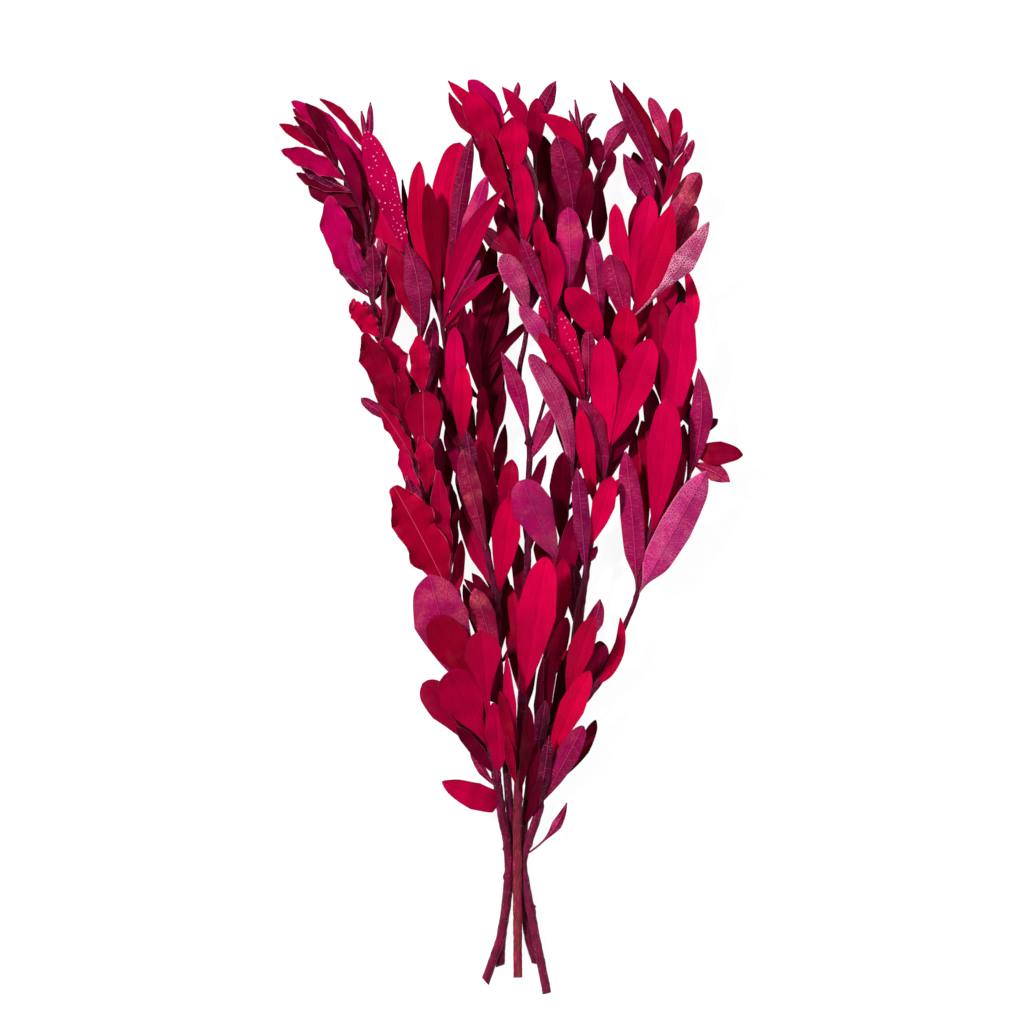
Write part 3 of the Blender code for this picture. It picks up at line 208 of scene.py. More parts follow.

# Leaves given one by one, nearest the eye first: base and tip in pixels, width in pixels, rise of
# the tip above its root in mm, and then, as far as they differ from the usual: the form, the
# look, sideways bow in pixels (left of the way to the tip is positive), roll in degrees, and
# the face that looks up (1 upper, -1 under)
NEEDED = 6
USUAL = ("inner", None, 0, 0, 1)
LEAVES = {
    "leafy_stem_left": (
        (412, 252, 366, 132, 29, 26, "plain", "speckled", 1),
        (368, 294, 330, 196, 33, 20, "waved", "magenta", 7),
        (366, 290, 352, 238, 14, 26, "slip", "magenta", 2, 10, -1),
        (350, 179, 281, 151, 21, 18, "waved", "magenta", -3),
        (366, 198, 291, 101, 24, 14, "waved", "magenta", -13),
        (330, 150, 279, 124, 13, 8, "inner", "deep"),
        (340, 152, 295, 126, 9, 14, "slip", "violet", 0, 0, -1),
        (350, 165, 292, 107, 13, 4, "waved", "deep"), (345, 160, 294, 117, 11, 0, "waved", "wine"),
        (365, 158, 319, 98, 11, 8, "waved", "deep", -8),
        (342, 195, 299, 163, 13, -4, "waved", "wine", 0, 0, -1),
        (335, 200, 296, 172, 12, -10, "waved", "wine"),
        (352, 210, 308, 182, 25, -14, "inner", "wine"),
        (368, 150, 361, 110, 6, 4, "slip", "violet", 0, 0, -1),
        (370, 150, 370, 101, 8, 6, "slip", "violet", 0, 0, -1),
        (368, 150, 343, 117, 9, 0, "slip", "violet"), (388, 262, 352, 205, 22, -4, "waved", "deep"),
        (390, 290, 379, 238, 13, 8, "waved", "purple", 0, 20, -1),
        (378, 302, 372, 245, 18, 4, "waved", "violet", 0, 0, -1),
        (366, 300, 337, 256, 13, -4, "waved", "wine", 2, 0, -1),
        (362, 336, 354, 298, 13, 6, "waved", "veined", 4),
        (362, 334, 366, 302, 11, 12, "slip", "purple", -2, 0, -1),
        (384, 342, 386, 272, 9, 10, "slip", "purple", 0, 50, -1),
        (422, 338, 407, 244, 29, 14, "lance", "violet", -5, 0, -1),
        (418, 328, 390, 244, 24, -4, "waved", "deep"),
        (402, 412, 386, 337, 36, 20, "waved", "ruby"),
        (400, 414, 364, 334, 30, 12, "waved", "deep", 1),
        (397, 428, 361, 398, 13, 6, "plain", "violet", 0, 0, -1),
        (410, 468, 380, 408, 17, 10, "waved", "veined", -3),
        (425, 472, 423, 391, 39, 20, "spoon", "veined"),
        (427, 497, 420, 436, 20, 26, "waved", "ruby", -3, 10),
        (410, 455, 405, 414, 10, 18, "slip", "purple", 3, 0, -1),
        (419, 397, 419, 335, 22, 8, "waved", "ruby"),
        (427, 402, 434, 317, 19, 10, "slip", "violet", 0, 0, -1),
        (437, 602, 394, 486, 46, 18, "waved", "ribbed", -5),
        (455, 592, 438, 470, 21, 10, "waved", "deep", 3),
        (442, 532, 437, 508, 9, 12, "slip", "violet", 3, 0, -1),
        (455, 582, 450, 482, 18, -8, "waved", "wine"),
        (428, 548, 407, 476, 16, -6, "waved", "violet", 0, 0, -1),
        (469, 700, 430, 574, 57, 12, "plain", "orchid", 4, 0, -1),
        (482, 703, 435, 615, 42, 22, "spoon", "deep"),
        (498, 745, 481, 630, 39, 26, "paddle", "ruby", 2),
        (501, 779, 493, 702, 26, 18, "plain", "ruby", -2),
        (492, 776, 422, 684, 36, 4, "spoon", "deep", -6),
        (493, 752, 450, 670, 46, 26, "spoon", "ruby", 2),
        (494, 790, 470, 748, 9, 4, "slip", "violet", 2, 0, -1),
        (507, 803, 442, 781, 28, 8, "blunt", "crimson", 3), (392, 352, 393, 262, 22, -8),
        (380, 345, 364, 300, 16, -6, "inner", None, 2), (404, 296, 373, 192, 24, -4, "plain"),
        (345, 165, 305, 103, 15, 2, "inner", None, -4), (432, 512, 440, 438, 17, -8),
        (491, 778, 456, 726, 15, 2, "inner", None, -2), (407, 447, 374, 370, 22, -6),
        (424, 442, 434, 362, 16, -4), (456, 606, 461, 540, 13, 0), (370, 215, 352, 140, 18, -6),
        (436, 530, 449, 446, 18, -10), (408, 440, 400, 365, 18, -10),
        (425, 470, 441, 396, 16, -4, "inner", None, 0, 0, -1), (448, 585, 424, 505, 20, -10),
        (372, 240, 346, 168, 20, -12), (366, 210, 326, 130, 16, 4, "inner", None, -6),
        (368, 342, 356, 302, 22, -6, "waved"), (418, 508, 402, 444, 15, 0, "waved", None, 3),
        (413, 330, 402, 276, 16, -8), (424, 345, 425, 285, 14, -10), (364, 250, 344, 192, 20, -12),
        (374, 308, 362, 236, 16, -14), (388, 362, 372, 300, 16, -14), (412, 452, 392, 392, 16, -14),
        (447, 590, 444, 520, 16, -12), (459, 626, 452, 572, 13, -10, "inner", None, 0, 0, -1),
        (492, 772, 477, 708, 14, -6),
    ),
    "leafy_stem_mid_left": (
        (449, 330, 499, 274, 14, 30, "lance", "crimson", 8, 20),
        (449, 325, 505, 189, 26, 30, "lance", "crimson", 12, 10),
        (455, 318, 480, 261, 15, 20, "plain", "purple", 3, 0, -1),
        (438, 304, 420, 162, 21, 24, "plain", "scarlet", 10),
        (439, 304, 428, 184, 19, 22, "plain", "maroon"),
        (453, 300, 472, 139, 18, 24, "plain", "violet", 4, 0, -1),
        (458, 304, 487, 178, 20, 36, "plain", "orchid", 4, -10, -1),
        (449, 306, 460, 143, 36, 12, "spoon", "scarlet", 8),
        (434, 306, 402, 178, 9, -12, "inner", "wine", 5),
        (467, 447, 463, 366, 20, 34, "plain", "scarlet", 1),
        (462, 442, 455, 327, 22, 14, "plain", "crimson", 2),
        (492, 552, 463, 450, 22, 22, "plain", "bronze", 2, 16, -1),
        (506, 597, 511, 496, 30, 28, "plain", "scarlet", 2),
        (487, 482, 482, 404, 18, 20, "plain", "deep"), (497, 446, 504, 386, 12, 16, "slip", "wine"),
        (482, 440, 482, 386, 13, 14, "plain", "deep"),
        (502, 532, 512, 459, 22, 14, "plain", "deep"), (495, 490, 505, 424, 14, 4, "lance", "wine"),
        (478, 402, 472, 318, 18, -2), (488, 425, 500, 343, 20, -10, "inner", "wine"),
        (478, 548, 458, 464, 18, 4), (488, 615, 464, 579, 10, 4, "slip", "wine", -2),
        (490, 612, 472, 573, 13, 9, "slip", "wine", -2),
        (499, 668, 475, 588, 25, 12, "plain", "bronze", 0, 0, -1),
        (493, 598, 485, 545, 7, 8, "slip", "violet", 0, 60, -1),
        (470, 520, 456, 440, 16, -8, "inner", None, 0, 0, -1), (503, 730, 492, 640, 16, -6),
        (455, 420, 439, 345, 17, -10), (462, 462, 441, 385, 18, -8), (470, 500, 446, 425, 18, -10),
        (484, 592, 461, 506, 18, -4), (492, 602, 474, 518, 15, -10, "inner", None, 0, 0, -1),
        (480, 362, 480, 238, 20, 2, "plain", "deep"), (482, 372, 500, 262, 18, -2),
        (479, 352, 493, 242, 18, -8, "plain", "wine"),
        (486, 440, 503, 372, 13, -6, "inner", "wine"), (491, 520, 477, 438, 19, -4),
        (472, 400, 470, 308, 16, 0), (486, 400, 506, 298, 19, -6, "inner", "wine"),
        (501, 660, 507, 575, 14, -8), (446, 352, 462, 296, 17, 0), (462, 402, 464, 306, 16, -6),
        (472, 478, 467, 396, 16, -10), (480, 505, 466, 430, 15, -12, "inner", None, 0, 0, -1),
        (481, 372, 510, 283, 17, -4, "lance", "wine"),
        (480, 375, 531, 319, 12, -4, "slip", "wine", 2, 20), (493, 672, 463, 584, 15, 4),
        (436, 292, 450, 216, 16, -6), (443, 332, 432, 252, 16, -8), (500, 570, 497, 500, 15, -6),
        (489, 460, 496, 384, 15, -10, "inner", None, 0, 0, -1),
    ),
    "leafy_stem_centre": (
        (504, 156, 466, 94, 30, 22, "plain", "crimson", 1),
        (492, 130, 448, 82, 15, 12, "lance", "crimson"),
        (507, 140, 468, 82, 22, 14, "plain", "magenta", -5),
        (490, 152, 449, 93, 17, 3, "lance", "deep", 6),
        (507, 220, 484, 130, 23, 10, "plain", "deep", 3),
        (531, 141, 502, 88, 18, 16, "lance", "crimson", -3),
        (520, 178, 512, 119, 30, 26, "plain", "scarlet"),
        (527, 116, 556, 82, 17, 16, "lance", "violet", -2, 0, -1),
        (520, 112, 518, 83, 8, 8, "slip", "purple", 0, 0, -1),
        (535, 247, 517, 163, 22, 22, "plain", "scarlet", -2),
        (552, 250, 519, 143, 13, 18, "plain", "violet", -6, 40, -1),
        (548, 306, 521, 240, 18, 26, "plain", "purple", 0, 0, -1),
        (555, 307, 543, 230, 13, 22, "plain", "crimson"),
        (568, 314, 549, 243, 18, 28, "plain", "crimson", -2),
        (535, 313, 501, 256, 26, 18, "plain", "netted", -2, 0, -1),
        (503, 264, 484, 228, 17, 8, "plain", "bronze", 0, 0, -1),
        (527, 282, 499, 222, 18, 8, "plain", "deep"),
        (528, 440, 501, 352, 19, 14, "lance", "purple", -4, 0, -1),
        (549, 366, 519, 307, 20, 14, "plain", "netted", -6, 0, -1),
        (539, 462, 554, 406, 17, 8, "lance", "purple", 1, 0, -1),
        (533, 506, 546, 455, 12, 4, "slip", "wine", 2),
        (522, 702, 546, 556, 40, 26, "plain", "scarlet"),
        (519, 765, 507, 652, 13, 16, "lance", "crimson", 3, 20),
        (523, 755, 541, 642, 11, 14, "lance", "wine", 4, 50),
        (515, 770, 500, 690, 12, 6, "plain", "deep"),
        (521, 800, 528, 705, 14, 10, "plain", "wine", -2, 20),
        (521, 700, 512, 610, 16, 6, "plain", "deep", 2),
        (519, 790, 506, 735, 10, 4, "plain", "deep", 2, 20), (527, 560, 535, 485, 18, -8),
        (533, 162, 537, 99, 20, 4, "plain", "deep"), (507, 160, 484, 108, 18, -2),
        (506, 185, 475, 122, 17, 4, "inner", None, 2, 0, -1), (521, 268, 497, 203, 21, -8),
        (546, 300, 538, 214, 18, 2), (526, 622, 516, 540, 17, 2), (523, 672, 511, 585, 15, -4),
        (527, 242, 506, 192, 16, -10), (525, 266, 536, 194, 17, -10), (513, 200, 522, 128, 18, -12),
        (528, 320, 514, 262, 16, -12), (528, 318, 541, 262, 15, -12, "inner", None, 0, 0, -1),
        (523, 720, 533, 636, 14, 0),
    ),
    "leafy_stem_centre_right": (
        (588, 178, 538, 115, 24, 26, "lance", "crimson", -11),
        (583, 242, 588, 168, 16, 18, "plain", "maroon"),
        (575, 234, 557, 137, 32, 18, "plain", "violet", -4, 0, -1),
        (577, 292, 567, 208, 28, 26, "plain", "orchid", 0, 0, -1),
        (583, 133, 597, 115, 10, 12, "slip", "violet", 5, 0, -1),
        (587, 140, 560, 117, 8, 8, "slip"), (583, 160, 575, 100, 6, 10, "slip", None, 0, 0, -1),
        (582, 150, 569, 110, 6, 4, "slip", None, 0, 0, -1),
        (599, 158, 631, 119, 20, 6, "lance", "violet", 2, 0, -1),
        (600, 192, 613, 152, 13, 8, "plain", "wine", -2),
        (598, 172, 596, 137, 15, 2, "plain", "wine"),
        (600, 174, 598, 243, 17, 2, "plain", "wine", 1),
        (602, 318, 592, 237, 20, 10, "plain", "purple", 0, 0, -1),
        (566, 262, 543, 134, 26, 0, "plain", "wine", 3),
        (610, 348, 566, 289, 31, 34, "plain", "scarlet", -3),
        (588, 406, 541, 299, 31, 30, "plain", "dotted", -3),
        (580, 404, 539, 332, 18, 22, "plain", "crimson"),
        (590, 397, 588, 330, 17, 14, "plain", "purple", 0, 0, -1),
        (580, 520, 529, 355, 23, 24, "spoon", "netted", -17, 0, -1),
        (552, 562, 522, 480, 41, 30, "plain", "fuchsia", 0, 0, -1),
        (560, 545, 563, 452, 22, 4, "plain", "wine", 2),
        (556, 662, 564, 558, 22, 16, "plain", "ruby"),
        (546, 702, 567, 617, 19, 24, "plain", "crimson", 1),
        (532, 795, 530, 740, 12, 14, "plain", "deep"),
        (537, 770, 543, 655, 13, 14, "lance", "wine", 2, 50), (572, 480, 583, 420, 16, -8),
        (570, 330, 556, 262, 16, -6), (560, 602, 578, 508, 22, 0), (537, 745, 551, 650, 20, 6),
        (602, 352, 601, 268, 18, -6), (586, 402, 574, 318, 19, 6), (527, 812, 537, 742, 13, 2),
        (572, 318, 585, 222, 20, -2), (578, 256, 590, 178, 18, -2), (558, 600, 539, 535, 22, 4),
        (572, 470, 555, 374, 18, 10, "inner", None, 0, 0, -1),
        (532, 785, 546, 700, 18, 4, "inner", None, 0, 0, -1), (582, 186, 588, 132, 14, -4),
        (590, 212, 607, 168, 13, -8), (570, 286, 545, 196, 20, -6),
        (568, 336, 541, 276, 18, -8, "inner", None, 0, 0, -1), (572, 430, 548, 346, 14, -6),
        (552, 640, 566, 560, 16, -6), (528, 832, 541, 776, 11, 2),
    ),
    "leafy_stem_right": (
        (650, 322, 708, 223, 25, 44, "drop", "silver", -1, 0, -1),
        (646, 320, 671, 204, 35, 14, "lance", "scarlet"),
        (622, 452, 650, 339, 37, 34, "plain", "crimson", 2),
        (624, 374, 626, 306, 28, 32, "plain", "scarlet"),
        (612, 460, 603, 337, 30, 32, "plain", "scarlet", 2),
        (593, 512, 580, 408, 19, 32, "plain", "scarlet"),
        (596, 549, 611, 476, 24, 30, "plain", "scarlet", 1),
        (652, 535, 668, 397, 36, 30, "plain", "crimson", -2),
        (659, 450, 681, 302, 37, 26, "plain", "crimson", -5),
        (640, 310, 650, 195, 28, 22, "plain", "crimson", 2),
        (631, 304, 615, 204, 20, 20, "plain", "crimson", 3),
        (622, 330, 609, 255, 27, 16, "plain", "purple", -2, 0, -1),
        (606, 484, 578, 400, 24, 22, "plain", "purple", -8, 16, -1),
        (635, 594, 625, 451, 24, 18, "broad", "purple", -2, 0, -1),
        (641, 600, 706, 471, 34, 24, "broad", "netted", 1, 0, -1),
        (690, 480, 698, 368, 24, 22, "lance", "purple", -7, 0, -1),
        (698, 456, 743, 455, 24, 10, "low", "maroon", 2),
        (694, 464, 730, 482, 19, 14, "lance", "bronze", 2, 0, -1),
        (702, 432, 718, 419, 11, 6, "slip", "wine"),
        (683, 262, 691, 327, 15, 2, "plain", "crimson", 5),
        (674, 168, 623, 83, 23, 22, "lance", "maroon", 6),
        (665, 197, 609, 81, 18, 28, "lance", "violet", -3, 10, -1),
        (658, 220, 623, 154, 22, 16, "lance", "purple", 0, 0, -1),
        (670, 158, 649, 98, 15, 12, "plain", "rose", -2, 0, -1),
        (673, 160, 676, 108, 16, 8, "plain", "deep"),
        (677, 165, 687, 132, 10, 4, "slip", "violet", 1, 0, -1),
        (680, 185, 693, 140, 10, 8, "plain", "purple", 0, 0, -1),
        (670, 236, 700, 173, 26, 8, "plain", "bronze", 3, 0, -1),
        (668, 268, 696, 205, 22, 0, "plain", "bronze", 0, 0, -1),
        (657, 332, 670, 262, 23, 6, "lance", "deep"), (676, 422, 675, 350, 22, 12, "plain", "deep"),
        (648, 412, 660, 300, 26, 10, "plain", "deep"), (672, 484, 684, 424, 15, -4),
        (600, 516, 625, 478, 13, 14, "plain", "crimson", 2),
        (589, 564, 597, 546, 8, 4, "slip", "wine"),
        (568, 706, 583, 574, 11, 12, "lance", "wine", 2, 50),
        (562, 702, 594, 616, 25, 26, "plain", "crimson", 2),
        (548, 768, 590, 670, 26, 22, "plain", "scarlet", 2),
        (588, 650, 600, 599, 18, 8, "lance", "violet", -2, 0, -1),
        (589, 713, 600, 641, 24, 0, "plain", "wine", -3),
        (595, 687, 620, 617, 13, 12, "low", "ruby", -10),
        (543, 808, 583, 725, 23, 14, "plain", "purple", 0, 0, -1),
        (556, 795, 596, 720, 15, 4, "plain", "wine", -4),
        (527, 857, 567, 803, 11, 12, "stalked", "violet", -6, 0, -1), (640, 300, 636, 202, 20, -4),
        (612, 480, 618, 400, 16, -8), (583, 640, 572, 560, 18, -6, "inner", None, 0, 0, -1),
        (660, 505, 642, 420, 20, -8), (630, 374, 650, 288, 20, 0), (656, 470, 650, 384, 20, 0),
        (647, 548, 636, 440, 18, 0), (653, 532, 686, 452, 17, -8),
        (541, 812, 549, 735, 14, 2, "inner", None, 0, 0, -1),
        (587, 576, 577, 468, 19, 2, "inner", None, 0, 0, -1), (612, 472, 637, 404, 20, -2),
        (618, 384, 608, 300, 17, -2), (643, 566, 634, 428, 19, -2), (608, 495, 627, 412, 18, -10),
        (546, 790, 561, 690, 19, 6), (560, 745, 570, 648, 22, 2),
        (686, 482, 700, 374, 15, 4, "lance", "violet", -2, 0, -1),
        (664, 212, 684, 152, 14, 2, "lance"), (668, 182, 664, 118, 14, -6),
        (660, 222, 663, 164, 13, -4), (650, 250, 641, 188, 17, -8), (604, 480, 590, 420, 14, -10),
        (572, 700, 590, 640, 16, -8), (668, 444, 690, 372, 22, -6),
    ),
}

# Low leaves that the bunch's weight presses flat on the surface: base, tip and width in pixels
PRESSED = {
    "leafy_stem_left": ((369, 286, 348, 208, 24), (430, 515, 410, 436, 24)),
    "leafy_stem_mid_left": ((502, 560, 488, 478, 22),),
    "leafy_stem_centre_right": ((571, 240, 560, 158, 24), (568, 490, 586, 412, 24)),
    "leafy_stem_right": ((657, 222, 634, 150, 24), (655, 505, 672, 424, 26)),
}

# What a blade may try when its first place is taken, the smallest change first
PUSHES = (0, -4, -8, 4, -12, -16, 8, -20, -26, 12, 18, -32, 25, 32)
ARCHES = (3, 8, -2, 13)
TURNS = (0, 14, -14, 28, -28)
RULE_TURNS = (0, 25, -25, 50, -50, 80, -80, 120)


def at(u, v, height=0.0):
    """A place given by picture pixels and a height in millimetres."""
    return Vector(((u - PICTURE_CENTRE[0]) * PIXEL, (PICTURE_CENTRE[1] - v) * PIXEL, height * MM))


def smooth(points, step):
    """Points about step apart on a smooth curve through the given ones."""
    ends = [points[0] * 2 - points[1]] + points + [points[-1] * 2 - points[-2]]
    curve = []
    for a, b, c, d in zip(ends, ends[1:], ends[2:], ends[3:]):
        count = max(1, round((c - b).length / step))
        for i in range(count):
            t = i / count
            curve.append(
                0.5 * (2 * b + (c - a) * t + (2 * a - 5 * b + 4 * c - d) * t ** 2
                       + (3 * b - a - 3 * c + d) * t ** 3))
    return curve + [points[-1]]


def rings(centres, sides):
    """Each place on a curve, the direction along it, and the spokes round it by their turns."""
    across = UP
    turns = [math.tau * k / sides for k in range(sides)]
    for i, centre in enumerate(centres):
        along = (centres[min(i + 1, len(centres) - 1)] - centres[max(i - 1, 0)]).normalized()
        across = (across - along * across.dot(along)).normalized()
        beside = along.cross(across)
        yield centre, along, {t: across * math.cos(t) + beside * math.sin(t) for t in turns}


def tube_faces(count, sides):
    """The walls of a tube, its flat cut end, and the faces round its point, the last vertex."""
    faces = []
    for ring in range(count - 1):
        for k in range(sides):
            a, b = ring * sides + k, ring * sides + (k + 1) % sides
            faces.append((a, b, b + sides, a + sides))
    faces.append(tuple(range(sides))[::-1])
    last = (count - 1) * sides
    return faces + [(last + k, last + (k + 1) % sides, last + sides) for k in range(sides)]


class Twig:
    """One run of bark, from its cut end or fork to its tip."""

    def __init__(self, stem, radius, tip_radius, route, main):
        self.stem = stem
        self.main = main
        self.centres = smooth([at(*place) for place in route], STEM_STEP if main else TWIG_STEP)
        last = len(self.centres) - 1
        shares = [max(0.0, i / last - TAPER_FROM) / (1 - TAPER_FROM) for i in range(last + 1)]
        self.radii = [(radius + (tip_radius - radius) * share) * MM for share in shares]

    def nearest(self, place):
        """How far a place lies from the twig as seen from above, and the centre nearest it."""
        found = []
        for a, b in zip(self.centres, self.centres[1:]):
            run = (b - a).xy
            share = min(1.0, max(0.0, (place.xy - a.xy).dot(run) / run.length_squared))
            centre = a.lerp(b, share)
            found.append(((centre.xy - place.xy).length, centre))
        return min(found, key=lambda pair: pair[0])

    def skin(self):
        """A closed tube round the centres, with a flat cut end and a pointed tip."""
        sides = STEM_SIDES if self.main else TWIG_SIDES
        verts = []
        for (centre, along, spokes), radius in zip(rings(self.centres, sides), self.radii):
            verts += [centre + spoke * radius for spoke in spokes.values()]
        verts.append(self.centres[-1] + along * TWIG_POINT)
        return verts, tube_faces(len(self.centres), sides)


class Station:
    """One cross section of a blade: two edges, and the rib's upper and lower line."""

    def __init__(self, centre, across, normal, half, edges, rib):
        self.centre, self.across, self.normal = centre, across, normal
        self.half, self.edges, self.rib = half, edges, rib

    def corners(self, spare):
        reach = self.across * (self.half + spare)
        return [self.centre - reach + self.normal * self.edges[0],
                self.centre + self.normal * (self.rib[1] + spare),
                self.centre + reach + self.normal * self.edges[1],
                self.centre + self.normal * (self.rib[0] - spare)]

    def toward(self, other, share):
        """The section part of the way to another."""
        def mix(a, b):
            return a + (b - a) * share
        pairs = zip(self.edges, other.edges), zip(self.rib, other.rib)
        edges, rib = (tuple(mix(a, b) for a, b in pair) for pair in pairs)
        return Station(mix(self.centre, other.centre), mix(self.across, other.across).normalized(),
                       mix(self.normal, other.normal).normalized(), mix(self.half, other.half),
                       edges, rib)


class Blade:
    """One leaf: its sections from the root to near the tip, its tip, and its look."""

    def __init__(self, form, curve, half, facing, roll=0.0, phase=0.0, look=None, by_hand=True):
        self.form, self.curve, self.half = form, curve, half
        self.facing, self.roll, self.phase = facing, roll, phase
        self.look, self.by_hand = look, by_hand
        self.pressed = form == "pressed"
        self.stations = [self.station(i, t, w) for i, (t, w) in enumerate(FORMS[form])]
        self.tip = bezier(curve, 1.0)
        if self.pressed:
            self.tip.z = 0.0

    def way(self, t):
        """The direction along the rib."""
        return (bezier(self.curve, t + SLOPE_STEP) - bezier(self.curve, t - SLOPE_STEP)).normalized()

    def station(self, index, t, width):
        centre = bezier(self.curve, t)
        along = self.way(t)
        flat = self.pressed and t > PRESSED_FROM
        if flat:
            along.z = 0.0
            centre.z = 0.0
        across = along.cross(UP if self.pressed else self.facing).normalized()
        turn = Matrix.Rotation(0.0 if flat else self.roll * min(1.0, t * ROLL_RATE), 3, along)
        across = turn @ across
        normal = across.cross(along)
        half = max(PETIOLE_HALF_WIDTH, self.half * width)
        if flat:
            return Station(centre, across, normal, half, (0.0, 0.0), (0.0, BLADE_THICKNESS))
        lift = half * BLADE_CUP if index else 0.0
        edges = (lift, lift)
        if self.form in WAVED_FORMS and index:
            swing = self.half * WAVE_HEIGHT
            turn = self.phase + index * WAVE_TURN
            edges = (lift + swing * math.sin(turn), lift + swing * math.sin(turn + WAVE_LAG))
        return Station(centre, across, normal, half, edges,
                       (-BLADE_THICKNESS / 2, BLADE_THICKNESS / 2))

    def skin(self, spare=0.0, free=False):
        """A closed blade, or the part of it that is clear of its root."""
        stations = list(self.stations)
        if free:
            span = (stations[1].centre - stations[0].centre).length
            stations[0] = stations[0].toward(stations[1], min(FREE_AT_MOST, FREE_FROM / span))
        verts, faces = [], []
        for station in stations:
            verts += station.corners(spare)
        out = (self.tip - stations[-1].centre).normalized()
        verts.append(self.tip + out * spare)
        tip = len(verts) - 1
        last = tip - CORNERS
        for i in range(0, last, CORNERS):
            left, top, right, under = range(i, i + CORNERS)
            left2, top2, right2, under2 = range(i + CORNERS, i + 2 * CORNERS)
            faces += [(left, top, top2), (left, top2, left2),
                      (left, under2, under), (left, left2, under2),
                      (right, top2, top), (right, right2, top2),
                      (right, under, under2), (right, under2, right2)]
        faces += [(last + k, last + (k + 1) % CORNERS, tip) for k in range(CORNERS)]
        faces += [(0, 2, 1), (0, 3, 2)]
        return verts, faces


def bezier(curve, t):
    """A point of the curve through a root, a control place and a tip."""
    root, control, tip = curve
    return root * (1 - t) ** 2 + control * (2 * t * (1 - t)) + tip * t ** 2


class Crowd:
    """What is already placed, which a new blade has to miss."""

    def __init__(self):
        self.solids = []

    def add(self, stem, solid):
        verts, faces = solid.skin()
        is_blade = isinstance(solid, Blade)
        free = BVHTree.FromPolygons(*solid.skin(free=True)) if is_blade else None
        whole = BVHTree.FromPolygons(verts, faces)
        self.solids.append((stem, whole, free, box(verts)))

    def has_room(self, stem, blade):
        verts, faces = blade.skin(CLEARANCE)
        low, high = box(verts)
        if low[2] < FLOOR_SPARE - CLEARANCE and not blade.pressed:
            return False
        whole = BVHTree.FromPolygons(verts, faces)
        free = BVHTree.FromPolygons(*blade.skin(CLEARANCE, free=True))
        for other, other_whole, other_free, (other_low, other_high) in self.solids:
            if any(low[k] > other_high[k] or high[k] < other_low[k] for k in range(3)):
                continue
            if other != stem:
                if whole.overlap(other_whole):
                    return False
            elif free.overlap(other_whole) or (other_free and whole.overlap(other_free)):
                return False
        return True


def box(verts):
    return ([min(v[k] for v in verts) for k in range(3)],
            [max(v[k] for v in verts) for k in range(3)])


def root_near(twigs, place):
    """Where the twig nearest a place, seen from above, carries a leaf."""
    return min((twig.nearest(place) for twig in twigs), key=lambda found: found[0])[1]


def hand_blades(twigs, row, phase):
    """The blades that a row of the table may become, the closest to it first."""
    u0, v0, u1, v1, width, rise, form, look, bow, roll, side = row + USUAL[len(row) - NEEDED:]
    base, tip = at(u0, v0), at(u1, v1)
    root = root_near(twigs, base)
    way = tip - base
    left = Vector((-way.y, way.x, 0)).normalized()
    for turn, arch, push in product(TURNS, ARCHES, PUSHES):
        high = rise + push
        control = base.lerp(tip, 0.5) + left * (2 * bow * PIXEL)
        control.z = root.z + (high * 0.5 + arch) * MM
        end = Vector((tip.x, tip.y, root.z + high * MM))
        yield Blade(form, (root, control, end), width * PIXEL / 2, Vector((0, 0, side)),
                    math.radians(roll + turn), phase, look)


def pressed_blade(twigs, row):
    """A low leaf that runs down to the surface and lies flat on it."""
    u0, v0, u1, v1, width = row
    base, tip = at(u0, v0), at(u1, v1)
    root = root_near(twigs, base)
    control = base.lerp(tip, PRESSED_BEND[0])
    control.z = root.z * PRESSED_BEND[1]
    return Blade("pressed", (root, control, tip), width * PIXEL / 2, UP)


def rule_blades(centre, along, azimuth, lean, length, width, phase):
    """The blades that a place on a twig may carry, turned round the twig until one is free."""
    start = (UP - along * UP.dot(along)).normalized()
    beside = along.cross(start)
    for scale, turn in product(RULE_SCALES, RULE_TURNS):
        angle = azimuth + math.radians(turn)
        out = start * math.cos(angle) + beside * math.sin(angle)
        heading = along * math.cos(lean) + out * math.sin(lean)
        inward = (along - heading * along.dot(heading)).normalized()
        upward = UP - heading * heading.z
        facing = (inward + upward * FACE_UP).normalized()
        reach = length * scale
        control = centre + heading * reach * 0.5
        end = centre + (heading + along * RULE_CURL).normalized() * reach
        yield Blade("inner", (centre, control, end), width * scale / 2, facing, phase=phase,
                    by_hand=False)


def is_hidden(cover, blade):
    """Whether the listed leaves lie over the whole of a blade."""
    places = [blade.tip]
    for station in blade.stations[1:]:
        places += [station.centre] + station.corners(0.0)[0:3:2]
    return all(cover.ray_cast(place, UP)[0] is not None for place in places)


def lay_out():
    """Every twig and every blade, by stem, in the place where it stays."""
    twigs = {stem: [Twig(stem, *route, main=i == 0) for i, route in enumerate(routes)]
             for stem, routes in ROUTES.items()}
    blades = {stem: [] for stem in ROUTES}
    crowd = Crowd()
    for stem in ROUTES:
        for twig in twigs[stem]:
            crowd.add(stem, twig)

    def settle(stem, tries):
        for blade in tries:
            if crowd.has_room(stem, blade):
                crowd.add(stem, blade)
                blades[stem].append(blade)
                return

    for stem, rows in PRESSED.items():
        for row in rows:
            settle(stem, [pressed_blade(twigs[stem], row)])
    for stem, rows in LEAVES.items():
        for index, row in enumerate(rows):
            settle(stem, hand_blades(twigs[stem], row, index * PHASE_STEP))

    verts, faces = [], []
    for placed in blades.values():
        for blade in placed:
            more, skin = blade.skin()
            faces += [tuple(i + len(verts) for i in face) for face in skin]
            verts += more
    cover = BVHTree.FromPolygons(verts, faces)
    draw = random.Random(RULE_SEED)
    for stem in ROUTES:
        for twig in twigs[stem]:
            rule_leaves(twig, cover, settle, draw)
    return twigs, blades


